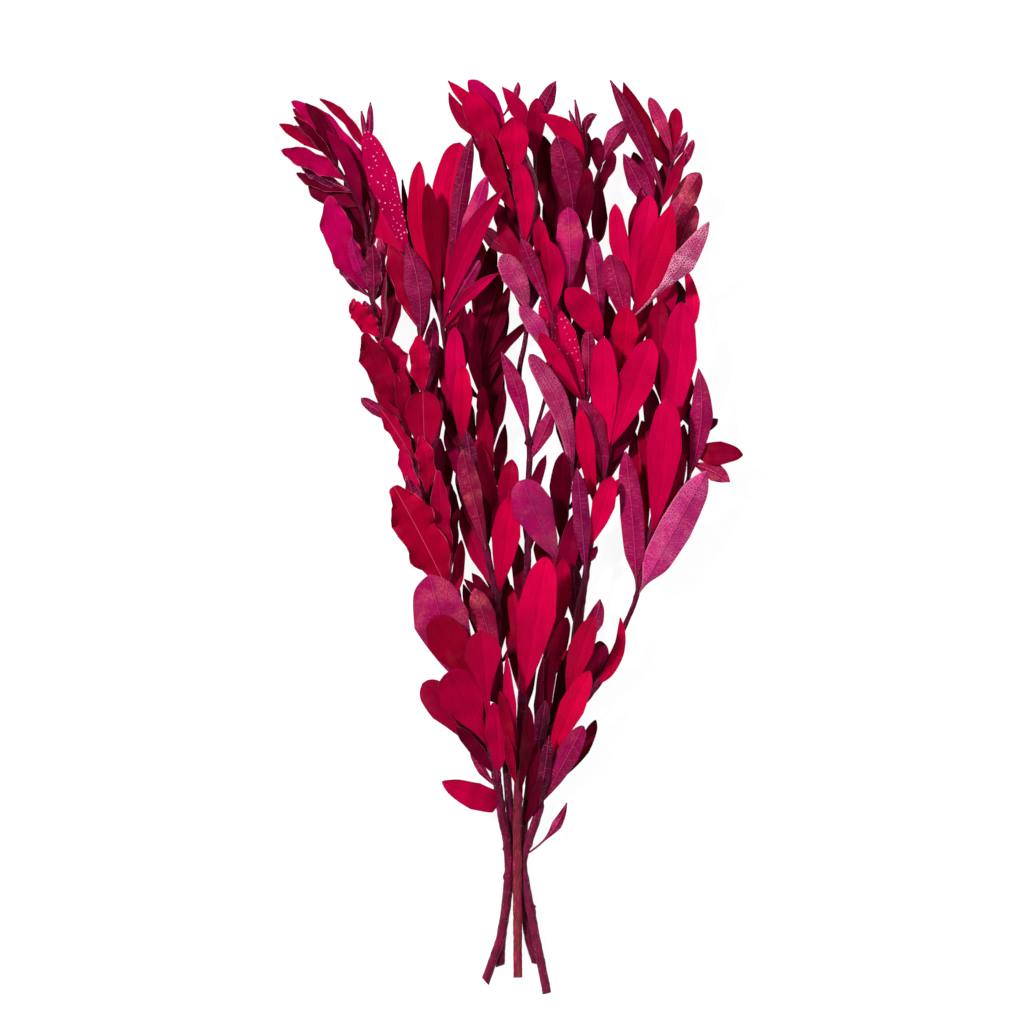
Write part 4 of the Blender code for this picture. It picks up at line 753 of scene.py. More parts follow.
def rule_leaves(twig, cover, settle, draw):
    """Leaves in a spiral along a twig, where the listed ones hide them."""
    azimuth = draw.uniform(0, math.tau)
    for a, b in zip(twig.centres, twig.centres[1:]):
        count = max(1, round((b - a).length / RULE_SPACING))
        for i in range(count):
            azimuth += GOLDEN_ANGLE
            centre = a.lerp(b, (i + 0.5) / count)
            sizes = draw.uniform(*RULE_LENGTH), draw.uniform(*RULE_WIDTH)
            lean, phase = draw.uniform(*RULE_LEAN), draw.uniform(0, math.tau)
            tries = rule_blades(centre, (b - a).normalized(), azimuth, lean, *sizes, phase)
            settle(twig.stem, (blade for blade in tries if is_hidden(cover, blade)))


# Fine meshes: rows along a leaf, and columns on each side of its rib
ROWS, COLUMNS_OUT = 30, 4
INNER_ROWS, INNER_COLUMNS_OUT = 14, 2
# Share of the rows that is spread evenly; the others crowd towards the root and the tip
EVEN_ROWS = 0.45
COLUMN_POWER = 0.85
SHARP_ANGLE = math.radians(52)
# How round the tip of each form is, from pointed to blunt
TIP_POWERS = {
    "plain": 1.5, "lance": 1.12, "low": 1.35, "broad": 1.5, "drop": 1.3, "blunt": 1.5,
    "stalked": 1.3, "waved": 1.8, "spoon": 2.0, "paddle": 2.2, "slip": 1.2, "inner": 1.3,
    "pressed": 1.5,
}
LEAF_TWIST = 9
LEAST_HALF = 0.0008
# Half width of the rib at the root and at the tip, its most as a share of the blade's half
# width, and how far its banks reach, in rib widths
RIB_HALF = (0.00075, 0.00025)
RIB_SHARE = 0.3
RIB_BANKS = 2.4
EDGE_THICKNESS = 0.00030
RIB_THICKNESS = (0.0013, 0.00045)
# How fast the thickness falls from the root, and how it falls from the rib to the edge
THICK_FOOT = 3.2
THICK_POWER = 0.6
RIB_RIDGE = 0.00055
RIDGE_FADE = 0.6
RIB_GROOVE = 0.00024
GROOVE_FROM = 0.15
CUP_DEEPER = 1.3
FOLD_POWERS = (1.1, 2.1)
# How fast each wave along a leaf runs, and how high it is
BEND_WAVES = ((6.5, 0.0008), (16.0, 0.0004))
BEND_SPREAD = (0.8, 1.3)
# Waves of a smooth margin, up and down and in and out: how fast, and how high
MARGIN_SWELL = 0.07
SWELLS = ((7.5, 1.0), (19, 0.5))
SWELL_IN_OUT = (11, 0.014)
# Crimps of a waved margin, in the same way, and how they grow from the rib
CRIMPS = ((2.7, 0.11), (5.5, 0.06))
CRIMP_IN_OUT = (2.0, 0.05)
CRIMP_POWER = 2.1
# A pressed leaf: how high its middle lies, and where along it settles on the surface
PRESSED_REST = 0.0004
PRESSED_RAMP = (0.12, 0.14)

# Colours as they are seen, sRGB 0 to 255, and turned into linear light below.  A look is the
# upper face, the under face, and how much it has of: white specks, net, pale rib, bronze
LOOKS = {
    "crimson": ((218, 0, 72), (158, 4, 90), (0.0, 0.4, 0.0, 0.0)),
    "scarlet": ((226, 0, 68), (158, 4, 86), (0.0, 0.4, 0.0, 0.0)),
    "ruby": ((196, 0, 60), (146, 2, 80), (0.0, 0.4, 0.0, 0.0)),
    "deep": ((170, 0, 50), (132, 2, 72), (0.0, 0.4, 0.0, 0.15)),
    "maroon": ((142, 0, 36), (112, 2, 56), (0.0, 0.4, 0.0, 0.1)),
    "wine": ((104, 0, 32), (88, 0, 42), (0.0, 0.4, 0.0, 0.1)),
    "magenta": ((206, 0, 86), (200, 4, 98), (0.0, 0.4, 0.0, 0.1)),
    "speckled": ((200, 0, 82), (150, 4, 86), (1.0, 0.4, 0.0, 0.0)),
    "dotted": ((214, 0, 68), (150, 4, 86), (0.5, 0.4, 0.0, 0.0)),
    "ribbed": ((190, 0, 54), (150, 4, 86), (0.0, 0.4, 1.0, 0.1)),
    "orchid": ((200, 0, 70), (204, 10, 98), (0.0, 0.5, 0.3, 0.6)),
    "purple": ((190, 0, 64), (168, 0, 72), (0.0, 0.5, 0.3, 0.2)),
    "violet": ((150, 0, 56), (134, 0, 54), (0.0, 0.4, 0.3, 0.1)),
    "netted": ((190, 0, 64), (190, 20, 100), (0.0, 0.8, 0.6, 0.3)),
    "silver": ((190, 0, 64), (196, 28, 100), (0.0, 1.0, 0.8, 0.0)),
    "rose": ((206, 24, 74), (200, 30, 80), (0.0, 0.4, 0.2, 0.3)),
    "bronze": ((160, 8, 50), (160, 14, 58), (0.0, 0.5, 0.3, 1.0)),
    "fuchsia": ((200, 0, 70), (228, 12, 110), (0.0, 0.45, 0.3, 0.5)),
    "veined": ((178, 0, 52), (132, 2, 72), (0.0, 0.4, 0.8, 0.1)),
}
# What a leaf with no look of its own draws from
UPPER_LOOKS = ("crimson", "crimson", "scarlet", "deep", "deep")
UNDER_LOOKS = ("purple", "violet", "violet", "bronze")
# Inner and pressed leaves lie under the others and draw the darkest looks: their own dark dye, and
# painted shade as well
INNER_LOOKS = ("wine", "wine", "deep", "violet")
# The tone of all leaves and bark; the darker tone of the hidden leaves under the others, which is
# painted shade; and how the tone varies from leaf to leaf
TONE = 0.775
HIDDEN_SHADE = 0.42
TONE_SPREAD = (0.86, 1.1)
BLUE_SPREAD = (0.82, 1.2)
BARK_SPREAD = (0.95, 1.05)
# Painted shade at the foot of a leaf, in among the twigs and the other leaves: how dark, up to which
# share of the length, and how it fades
FOOT_SHADE, FOOT_END, FOOT_POWER = 0.55, 0.22, 1.5
# Soft bands along a leaf: how strong, and how fast they run
BAND_DEPTH, BAND_RATES = 0.10, (3, 7)
# How far the pattern of one leaf may be shifted, so that no two are alike
PATTERN_SHIFT = 5
# The pale line along a margin, the leaf's own pale edge and partly a painted highlight where an edge
# catches the light: how far from the margin it is pushed out of sight, for one side of a leaf
MARGIN_OFFSETS = (0.0003, 0.0008, 0.0008, 0.0008)
WAVED_MARGINS = (0.0, 0.0, 0.0003)

# Bark by stem: its colour at the foot, the slope of the cut end from left to right, and the
# scars and knobs: pixel x, y, then width, radius of the ring round it and height, in metres
BARKS = {
    "leafy_stem_left": ((122, 20, 58), -0.6, (
        (506.7, 876.7, 0.0008, 0.0019, 0.0007), (507, 847, 0.0009, 0.0, 0.0008),
        (502.5, 850.5, 0.0010, 0.0, 0.0016), (503.5, 879, 0.0010, 0.0, 0.0011),
        (509, 826, 0.0014, 0.0, 0.0007),
    )),
    "leafy_stem_mid_left": ((112, 18, 58), 0.4, ()),
    "leafy_stem_centre": ((158, 46, 60), 0.03, (
        (529.3, 443, 0.0020, 0.0, 0.0014), (526.8, 443, 0.0014, 0.0, 0.0016),
        (531.8, 444, 0.0014, 0.0, 0.0014), (520, 893, 0.0008, 0.0, 0.0007),
        (517, 930, 0.0012, 0.0, 0.0005),
    )),
    "leafy_stem_centre_right": ((116, 20, 54), -0.45, ()),
    "leafy_stem_right": ((126, 26, 64), 0.08, (
        (535, 908, 0.0012, 0.0, 0.0014), (534.5, 913, 0.0010, 0.0, 0.0010),
        (529, 911, 0.0008, 0.0014, 0.0007), (529, 929, 0.0010, 0.0, 0.0008),
        (531, 846, 0.0011, 0.0, 0.0013),
    )),
}
UPPER_BARK = (92, 8, 44)
CUT_WOOD, CUT_GRAIN = (186, 112, 96), (132, 44, 64)
BARK_SIDES, TWIG_BARK_SIDES = 24, 10
BARK_STEP = 0.0015
# Swellings where leaves stand: how long, how far they are felt, and, as shares of the radius,
# how high all round, how high under the leaf, and how high at most
KNOT_LENGTH, KNOT_REACH = 0.0026, 0.012
KNOT_RING, KNOT_BUD, KNOT_MOST = 0.05, 0.16, 0.34
KNOT_FOCUS = 3
SCAR_REACH = 3
SCAR_SIDE = -0.2
# How fine each part of the bark's roughness is, and its share of the radius
BARK_ROUGHNESS = ((160.0, 0.09), (520.0, 0.07))
# Between these heights in y the bark of a foot turns into the bark of a top
BARK_TURNS = (-0.31, -0.12)
BARK_EDGE = 0.01
# How far a leaf's root may be from a twig that carries it: from its centres, and from its line
ROOT_NEAR, ROOT_ON = 0.022, 0.002

# Skins: roughness, specular level and the tint of the gloss
UPPER_SKIN = (0.55, 0.18, (1.0, 0.06, 0.30, 1.0))
UNDER_SKIN = (0.36, 0.45, (1.0, 0.12, 0.42, 1.0))
BARK_SKIN = (0.55, 0.22, (1.0, 0.35, 0.45, 1.0))
CUT_SKIN = (0.75, 0.2)
FLOOR_SKIN = (0.9, 0.1)
# Side veins: how far apart, how much they lean towards the tip, and how much they wander
VEIN_STEP, VEIN_SLOPE, VEIN_WANDER = 0.0030, 0.55, 0.0022
# What is painted over a leaf's or a bark's own tone, sRGB 0 to 255: marks of its own, and painted
# highlights (the sheen, the curled edge, partly the bronze of the under face and the margins)
SHEEN_HIGHLIGHT, SPECK, CURL_HIGHLIGHT = (232, 88, 140), (255, 180, 214), (232, 128, 156)
UNDER_BRONZE_AND_SHEEN, UPPER_BRONZE = (228, 104, 108), (190, 80, 70)
UNDER_VEIN, SILVER_VEIN = (206, 66, 130), (252, 190, 214)
UNDER_RIB, UPPER_RIB = (206, 66, 112), (222, 84, 104)
UNDER_MARGIN, UPPER_MARGIN = (206, 76, 120), (214, 70, 112)
BARK_BLOOM, BARK_FLECK = (138, 8, 76), (196, 118, 122)

# Studio
PICTURE_SIZE = 1024
CAMERA_HEIGHT = 8.0
MIDDLE_HEIGHT = 0.04
SENSOR = 36.0
FARTHEST = 100.0
FLOOR = 20.0
FLOOR_DROP = 0.0002
FLOOR_WHITE = 0.15
FLOOR_GLOW = 0.93
WORLD_LIGHT = 0.10
LAMP_REACH = 2
# Name, direction that it shines from, strength, and how wide it looks in degrees
LAMPS = (
    ("key", (-0.50, 0.34, 1.0), 3.5, 7.0),
    ("second_key", (0.30, 0.10, 1.0), 0.95, 25.0),
)


def linear(colour):
    """Linear light for a colour given in sRGB from 0 to 255."""
    shares = [c / 255 for c in colour]
    return [s / 12.92 if s <= 0.04045 else ((s + 0.055) / 1.055) ** 2.4 for s in shares]


def rgba(colour):
    return (*linear(colour), 1.0)


def slopes(xs, ys):
    """Slopes at the knots that keep a cubic through them free of overshoot."""
    steps = [(b - a) / (d - c) for a, b, c, d in zip(ys, ys[1:], xs, xs[1:])]
    inner = [0.0 if a * b <= 0 else 2 * a * b / (a + b) for a, b in zip(steps, steps[1:])]
    return [steps[0]] + inner + [steps[-1]]


def through(xs, ys, x):
    """The value at x of the smooth curve through the knots."""
    k = min(max(0, np.searchsorted(xs, x) - 1), len(xs) - 2)
    m = slopes(xs, ys)
    h = xs[k + 1] - xs[k]
    s = (x - xs[k]) / h
    return ((1 + 2 * s) * (1 - s) ** 2 * ys[k] + s * (1 - s) ** 2 * h * m[k]
            + s * s * (3 - 2 * s) * ys[k + 1] + s * s * (s - 1) * h * m[k + 1])


def width_at(form, t):
    """Share of the half width at a share of a leaf's length: a straight foot, a rounded tip."""
    xs, ys = zip(*FORMS[form], (1.0, 0.0))
    widest = ys.index(max(ys))
    if t <= xs[widest]:
        return max(0.0, through(xs[:widest + 1], ys[:widest + 1], t))
    power = TIP_POWERS[form]
    blunt = [y ** power for y in ys[widest:]]
    return max(0.0, through(xs[widest:], blunt, t)) ** (1 / power)


def station_index(form, t):
    """Which station of the solid's blade lies at a share of its length, with a fraction."""
    knots = [place for place, _ in FORMS[form]] + [1.0]
    return float(np.interp(t, knots, range(len(knots))))


class Heap:
    """Vertices, faces and what is painted on them, for one piece."""

    def __init__(self):
        self.verts, self.faces, self.kinds = [], [], []
        self.paints = {"tone": [], "leaf": [], "marks": []}
        self.count = 0

    def add(self, verts, faces, kinds, **paints):
        self.faces += [tuple(i + self.count for i in face) for face in faces]
        self.kinds += kinds
        self.verts.append(verts)
        for key, values in paints.items():
            self.paints[key].append(values)
        self.count += len(verts)

    def piece(self, name, materials, shift):
        mesh = bpy.data.meshes.new(name)
        verts = np.concatenate(self.verts) + np.array(shift)
        # nothing reaches below the surface that the bunch lies on
        verts[:, 2] = np.maximum(verts[:, 2], 0.0)
        mesh.from_pydata(verts.tolist(), [], self.faces)
        for material in materials:
            mesh.materials.append(material)
        mesh.polygons.foreach_set("material_index", self.kinds)
        mesh.polygons.foreach_set("use_smooth", [True] * len(self.faces))
        for key, paint in self.paints.items():
            values = np.concatenate(paint).astype(np.float32)
            is_colour = values.shape[1] == 4
            layer = mesh.attributes.new(key, "FLOAT_COLOR" if is_colour else "FLOAT_VECTOR", "POINT")
            layer.data.foreach_set("color" if is_colour else "vector", values.ravel())
        mesh.update()
        mesh.set_sharp_from_angle(angle=SHARP_ANGLE)
        item = bpy.data.objects.new(name, mesh)
        bpy.context.scene.collection.objects.link(item)
        return item


class Leaf:
    """The fine shape of one blade, with the chances that make it differ from its neighbours."""

    def __init__(self, blade, draw):
        self.blade, self.draw = blade, draw
        self.twist = math.radians(draw.uniform(-LEAF_TWIST, LEAF_TWIST))
        self.lobes = [draw.uniform(0, math.tau) for _ in range(4)]
        self.power = draw.uniform(*FOLD_POWERS)
        self.bends = [(rate * draw.uniform(*BEND_SPREAD), height, draw.uniform(0, math.tau))
                      for rate, height in BEND_WAVES]
        self.crimped = blade.form in WAVED_FORMS
        self.rows, self.out = ROWS, COLUMNS_OUT
        if not blade.by_hand:
            self.rows, self.out = INNER_ROWS, INNER_COLUMNS_OUT
        self.columns = 2 * (self.out + 2) + 1
        steps = np.linspace(0, 1, self.rows + 1)
        crowded = 0.5 - 0.5 * np.cos(math.pi * steps)
        self.shares = EVEN_ROWS * steps + (1 - EVEN_ROWS) * crowded

    def frame(self, t):
        """The rib's place, the directions across and up, and how far the leaf has settled."""
        blade = self.blade
        centre, along = bezier(blade.curve, t), blade.way(t)
        if blade.pressed:
            lead, span = PRESSED_RAMP
            settled = min(1.0, max(0.0, (t - PRESSED_FROM + lead) / span))
            along.z *= 1 - settled
            along.normalize()
            centre.z = max(centre.z * (1 - settled), 0.0) + PRESSED_REST
            across = along.cross(UP).normalized()
            return centre, across, across.cross(along), settled
        roll = blade.roll * min(1.0, t * ROLL_RATE) + self.twist * t * t
        across = Matrix.Rotation(roll, 3, along) @ along.cross(blade.facing).normalized()
        return centre, across, across.cross(along), 0.0

    def margin(self, t, x, size, fade, index):
        """How far a place is lifted by the waves of its margin, and how far it is pushed out."""
        half, lobes, right = self.blade.half, self.lobes, x > 0
        if self.crimped:
            turn = self.blade.phase + index * WAVE_TURN + (WAVE_LAG if right else 0.0)
            wave = half * WAVE_HEIGHT * math.sin(turn)
            for (rate, height), lobe in zip(CRIMPS, (lobes[0], lobes[2 + right])):
                wave += half * height * math.sin(rate * turn + lobe)
            rate, height = CRIMP_IN_OUT
            push = height * fade * math.sin(rate * turn + lobes[1]) * size
            return wave * fade * size ** CRIMP_POWER, 1 + push
        (rate, height), (rate2, height2) = SWELLS
        swell = height * math.sin(lobes[1 + right] + rate * t)
        swell += height2 * math.sin(lobes[right] + rate2 * t)
        rate, height = SWELL_IN_OUT
        push = height * math.sin(lobes[2 + right] + rate * t) * size
        return half * MARGIN_SWELL * swell * fade * size ** 2, 1 + push

    def section(self, t):
        """The rib's place, the places over and under each column, and what they carry."""
        blade = self.blade
        middle, across, normal, settled = self.frame(t)
        bend = 0.0
        if not blade.pressed:
            bend = sum(h * math.sin(rate * t + start) for rate, h, start in self.bends)
        centre = middle + normal * min(1.0, ROLL_RATE * t) * bend
        half = max(LEAST_HALF, blade.half * width_at(blade.form, t))
        index = station_index(blade.form, t)
        fade = min(1.0, index)
        rib = RIB_HALF[0] + (RIB_HALF[1] - RIB_HALF[0]) * t
        rib = min(rib, half * RIB_SHARE)
        thick, thin = RIB_THICKNESS
        thick = thin + (thick - thin) * max(0.0, 1 - t * THICK_FOOT) ** 2
        bank = RIB_BANKS * rib
        spread = [bank + (half - bank) * ((k + 1) / self.out) ** COLUMN_POWER
                  for k in range(self.out)]
        spread = [0.0, rib, bank] + spread
        top, under, paint = [], [], []
        for x in [-v for v in reversed(spread[1:])] + spread:
            size = abs(x / half)
            lift = half * BLADE_CUP * CUP_DEEPER * fade * size ** self.power
            if blade.pressed:
                lift *= 1 - settled
            else:
                more, push = self.margin(t, x, size, fade, index)
                lift += more
                x = x * push
            close = max(0.0, 1 - abs(x) / bank)
            body = EDGE_THICKNESS + (thick - EDGE_THICKNESS) * max(0.0, 1 - size) ** THICK_POWER
            place = centre + across * x + normal * lift
            groove = RIB_GROOVE * close * (1 - max(0, GROOVE_FROM - t) / GROOVE_FROM)
            lower = body / 2 + RIB_RIDGE * close * (1 - RIDGE_FADE * t)
            if blade.pressed:
                lower = min(lower, PRESSED_REST)
            top.append(place + normal * (body / 2 - groove))
            under.append(place - normal * lower)
            paint.append((x, half - abs(x)))
        return middle, top, under, paint

    def faces(self):
        """The faces of the shell, each with 0 for the upper skin and its rim or 1 for the under."""
        wide = self.columns
        low = self.rows * wide
        last = 2 * low
        faces = []
        for row in range(self.rows - 1):
            a = row * wide
            b = a + wide
            for j in range(wide - 1):
                faces.append(((a + j, a + j + 1, b + j + 1, b + j), 0))
                faces.append(((a + j + low, b + j + low, b + j + low + 1, a + j + low + 1), 1))
            faces.append(((a, b, b + low, a + low), 0))
            a += wide - 1
            b += wide - 1
            faces.append(((a + low, b + low, b, a), 0))
        a = (self.rows - 1) * wide
        for j in range(wide - 1):
            faces.append(((a + j, a + j + 1, last), 0))
            faces.append(((a + j + 1 + low, a + j + low, last), 1))
        b = a + wide - 1
        foot = tuple(range(wide))[::-1] + tuple(range(low, low + wide))
        faces += [((a, last, a + low), 0), ((b + low, last, b), 0), (foot, 0)]
        return zip(*faces)

    def build(self, heap, look):
        """Adds the leaf to a heap as a thin closed shell."""
        blade, draw = self.blade, self.draw
        tops, unders, paint = [], [], []
        run, before = 0.0, None
        for t in self.shares[:-1]:
            middle, top, under, line = self.section(t)
            if before is not None:
                run += (middle - before).length
            before = middle
            tops += top
            unders += under
            paint += [(x, run, edge) for x, edge in line]
        tip = bezier(blade.curve, 1.0)
        if blade.pressed:
            tip.z = PRESSED_REST
        verts = np.array([tuple(v) for v in tops + unders + [tip]])
        leaf = np.array(paint * 2 + [(0.0, run + (tip - before).length, 0.0)])
        faces, kinds = self.faces()

        length = sum((bezier(blade.curve, b) - bezier(blade.curve, a)).length
                     for a, b in zip(self.shares, self.shares[1:]))
        share = leaf[:, 1] / length
        upper_tone, under_tone, marks = look
        tone = np.ones((len(verts), 4))
        is_top = np.arange(len(verts)) < len(tops)
        # painted shade: the foot of each leaf is darkened
        foot = 1 - FOOT_SHADE * np.clip(1 - share / FOOT_END, 0, 1) ** FOOT_POWER
        # painted shade: the hidden leaves under the others are darkened
        shade = TONE * draw.uniform(*TONE_SPREAD) * (1.0 if blade.by_hand else HIDDEN_SHADE)
        rate, start = draw.uniform(*BAND_RATES), draw.uniform(0, math.tau)
        band = 1 + BAND_DEPTH * np.sin(rate * share + start)
        for k, pair in enumerate(zip(linear(upper_tone), linear(under_tone))):
            tone[:, k] = np.where(is_top, *pair) * foot * shade * band
        tone[:, 2] *= draw.uniform(*BLUE_SPREAD)
        leaf[:, 1] += draw.uniform(0, PATTERN_SHIFT)
        offsets = WAVED_MARGINS if self.crimped else MARGIN_OFFSETS
        leaf[:, 2] += np.where(leaf[:, 0] > 0, draw.choice(offsets), draw.choice(offsets))
        heap.add(verts, faces, kinds, tone=tone, leaf=leaf, marks=np.tile(marks, (len(verts), 1)))


def knot_swell(knots, run, turn):
    """How much a twig swells at a place, from the leaves that stand near it."""
    swell = 0.0
    for where, angle in knots:
        gap = abs(run - where)
        if gap < KNOT_REACH:
            ring = math.exp(-(gap / KNOT_LENGTH) ** 2)
            under = max(0.0, math.cos(turn - angle)) ** KNOT_FOCUS
            swell += ring * (KNOT_RING + KNOT_BUD * under)
    return min(KNOT_MOST, swell)


def scar_rise(scars, spot):
    """How high the scars and knobs raise a place of the bark."""
    rise = 0.0
    for middle, width, ring, height in scars:
        gap = math.hypot(spot.x - middle.x, spot.y - middle.y)
        if gap < ring + SCAR_REACH * width:
            rise += height * math.exp(-((gap - ring) / width) ** 2)
    return rise


def bark_mesh(heap, twig, roots, draw):
    """A twig's bark as a round tube that swells where leaves stand, with a cut or pointed end."""
    foot_tone, slant, scars = BARKS[twig.stem]
    sides = BARK_SIDES if twig.main else TWIG_BARK_SIDES
    centres = smooth(twig.centres, BARK_STEP)
    count = len(centres)
    radii = np.interp(np.linspace(0, 1, count), np.linspace(0, 1, len(twig.radii)), twig.radii)
    places = np.array([tuple(c) for c in centres])
    runs = np.concatenate([[0], np.cumsum(np.linalg.norm(np.diff(places, axis=0), axis=1))])
    knots = []
    for root in roots:
        k = int(np.argmin(np.linalg.norm(places - np.array(root), axis=1)))
        knots.append((runs[k], draw.uniform(0, math.tau)))
    scars = [(at(x, y), *measures) for x, y, *measures in scars]
    verts, leaf = [], []
    for i, (centre, along, spokes) in enumerate(rings(centres, sides)):
        size = radii[i]
        for turn, spoke in spokes.items():
            spot = centre + spoke * size
            rough = sum(noise.noise(spot * rate) * share for rate, share in BARK_ROUGHNESS)
            rise = scar_rise(scars, spot) if spoke.z > SCAR_SIDE else 0.0
            swell = knot_swell(knots, runs[i], turn)
            cut = size * slant * math.sin(turn) if twig.main and i == 0 else 0.0
            verts.append(tuple(spot + spoke * (size * (swell + rough) + rise) + along * cut))
            leaf.append((turn * size, runs[i], BARK_EDGE))
    verts.append(tuple(centres[-1] + along * TWIG_POINT))
    leaf.append((0.0, runs[-1], BARK_EDGE))
    verts, leaf = np.array(verts), np.array(leaf)
    faces = tube_faces(count, sides)
    # the cut end is the one face after the walls, and has the second material
    kinds = [0] * len(faces)
    kinds[(count - 1) * sides] = 1
    low, high = BARK_TURNS
    above = np.clip((verts[:, 1] - low) / (high - low), 0, 1) if twig.main else 1.0
    tone = np.ones((len(verts), 4))
    for k, (foot, top) in enumerate(zip(linear(foot_tone), linear(UPPER_BARK))):
        tone[:, k] = (foot + (top - foot) * above) * TONE * draw.uniform(*BARK_SPREAD)
    leaf[:, 1] += draw.uniform(0, PATTERN_SHIFT)
    heap.add(verts, faces, kinds, tone=tone, leaf=leaf, marks=np.zeros((len(verts), 4)))


# Materials: the sockets of a Mix node that take and give colours
MIX_A, MIX_B, MIX_OUT = 6, 7, 2


class Signal:
    """What a node gives, so that sums and products are written as with numbers."""

    def __init__(self, shade, socket):
        self.shade, self.socket = shade, socket

    def __add__(self, other):
        return self.shade.math("ADD", self, other)

    def __sub__(self, other):
        return self.shade.math("SUBTRACT", self, other)

    def __mul__(self, other):
        return self.shade.math("MULTIPLY", self, other)

    def __abs__(self):
        return self.shade.math("ABSOLUTE", self)

    def ramp(self, low, high, out_low=0.0, out_high=1.0):
        """A smooth step from out_low to out_high as this goes from low to high."""
        return self.shade.node("MapRange", (self, low, high, out_low, out_high),
                               interpolation_type="SMOOTHSTEP")[0]


class Shade:
    """A material's nodes, and the colour that is painted over step by step."""

    def __init__(self, name, roughness, specular, gloss=(1.0, 1.0, 1.0, 1.0)):
        self.material = bpy.data.materials.new(name)
        self.material.use_nodes = True
        self.tree = self.material.node_tree
        self.shader = self.tree.nodes["Principled BSDF"]
        self.shader.inputs["Roughness"].default_value = roughness
        self.shader.inputs["Specular IOR Level"].default_value = specular
        self.shader.inputs["Specular Tint"].default_value = gloss

    def join(self, value, socket):
        if isinstance(value, Signal):
            self.tree.links.new(value.socket, socket)
        else:
            socket.default_value = value

    def node(self, kind, inputs, **settings):
        """All outputs of a new node, whose inputs go by their order or by name."""
        node = self.tree.nodes.new("ShaderNode" + kind)
        for key, value in settings.items():
            setattr(node, key, value)
        named = inputs if isinstance(inputs, dict) else dict(enumerate(inputs))
        for key, value in named.items():
            self.join(value, node.inputs[key])
        return [Signal(self, socket) for socket in node.outputs]

    def math(self, operation, a, b=0.0, c=0.0):
        return self.node("Math", (a, b, c), operation=operation)[0]

    def mix(self, factor, a, b, blend="MIX"):
        return self.node("Mix", {"Factor": factor, MIX_A: a, MIX_B: b}, data_type="RGBA",
                         blend_type=blend, clamp_factor=True)[MIX_OUT]

    def attribute(self, name, output):
        return self.node("Attribute", (), attribute_type="GEOMETRY", attribute_name=name)[output]

    def split(self, vector, kind="XYZ"):
        return self.node("Separate" + kind, (vector,))[:3]

    def joined(self, x, y, z=0.0):
        return self.node("CombineXYZ", (x, y, z))[0]

    def noise(self, vector, scale, detail=2.0):
        return self.node("TexNoise", {"Vector": vector, "Scale": scale, "Detail": detail})[0]

    def cells(self, vector, scale, feature="F1"):
        return self.node("TexVoronoi", {"Vector": vector, "Scale": scale},
                         voronoi_dimensions="2D", feature=feature)

    def start(self):
        """Takes the painted tone as the colour, and gives the place on the leaf or the bark."""
        self.tone = self.colour = self.attribute("tone", 0)
        return self.split(self.attribute("leaf", 1))

    def tint(self, factor, *shares):
        """Mixes in the tone with its red, green and blue taken times a share."""
        tinted = self.mix(1.0, self.tone, (*shares, 1.0), "MULTIPLY")
        self.colour = self.mix(factor, self.colour, tinted)

    def paint(self, factor, colour):
        """Mixes in a colour given in sRGB from 0 to 255."""
        self.colour = self.mix(factor, self.colour, rgba(colour))

    def finish(self, height, distance, strength):
        """The material with its colour and its bump."""
        self.join(self.colour, self.shader.inputs["Base Color"])
        inputs = {"Strength": strength, "Distance": distance, "Height": height}
        self.join(self.node("Bump", inputs)[0], self.shader.inputs["Normal"])
        return self.material


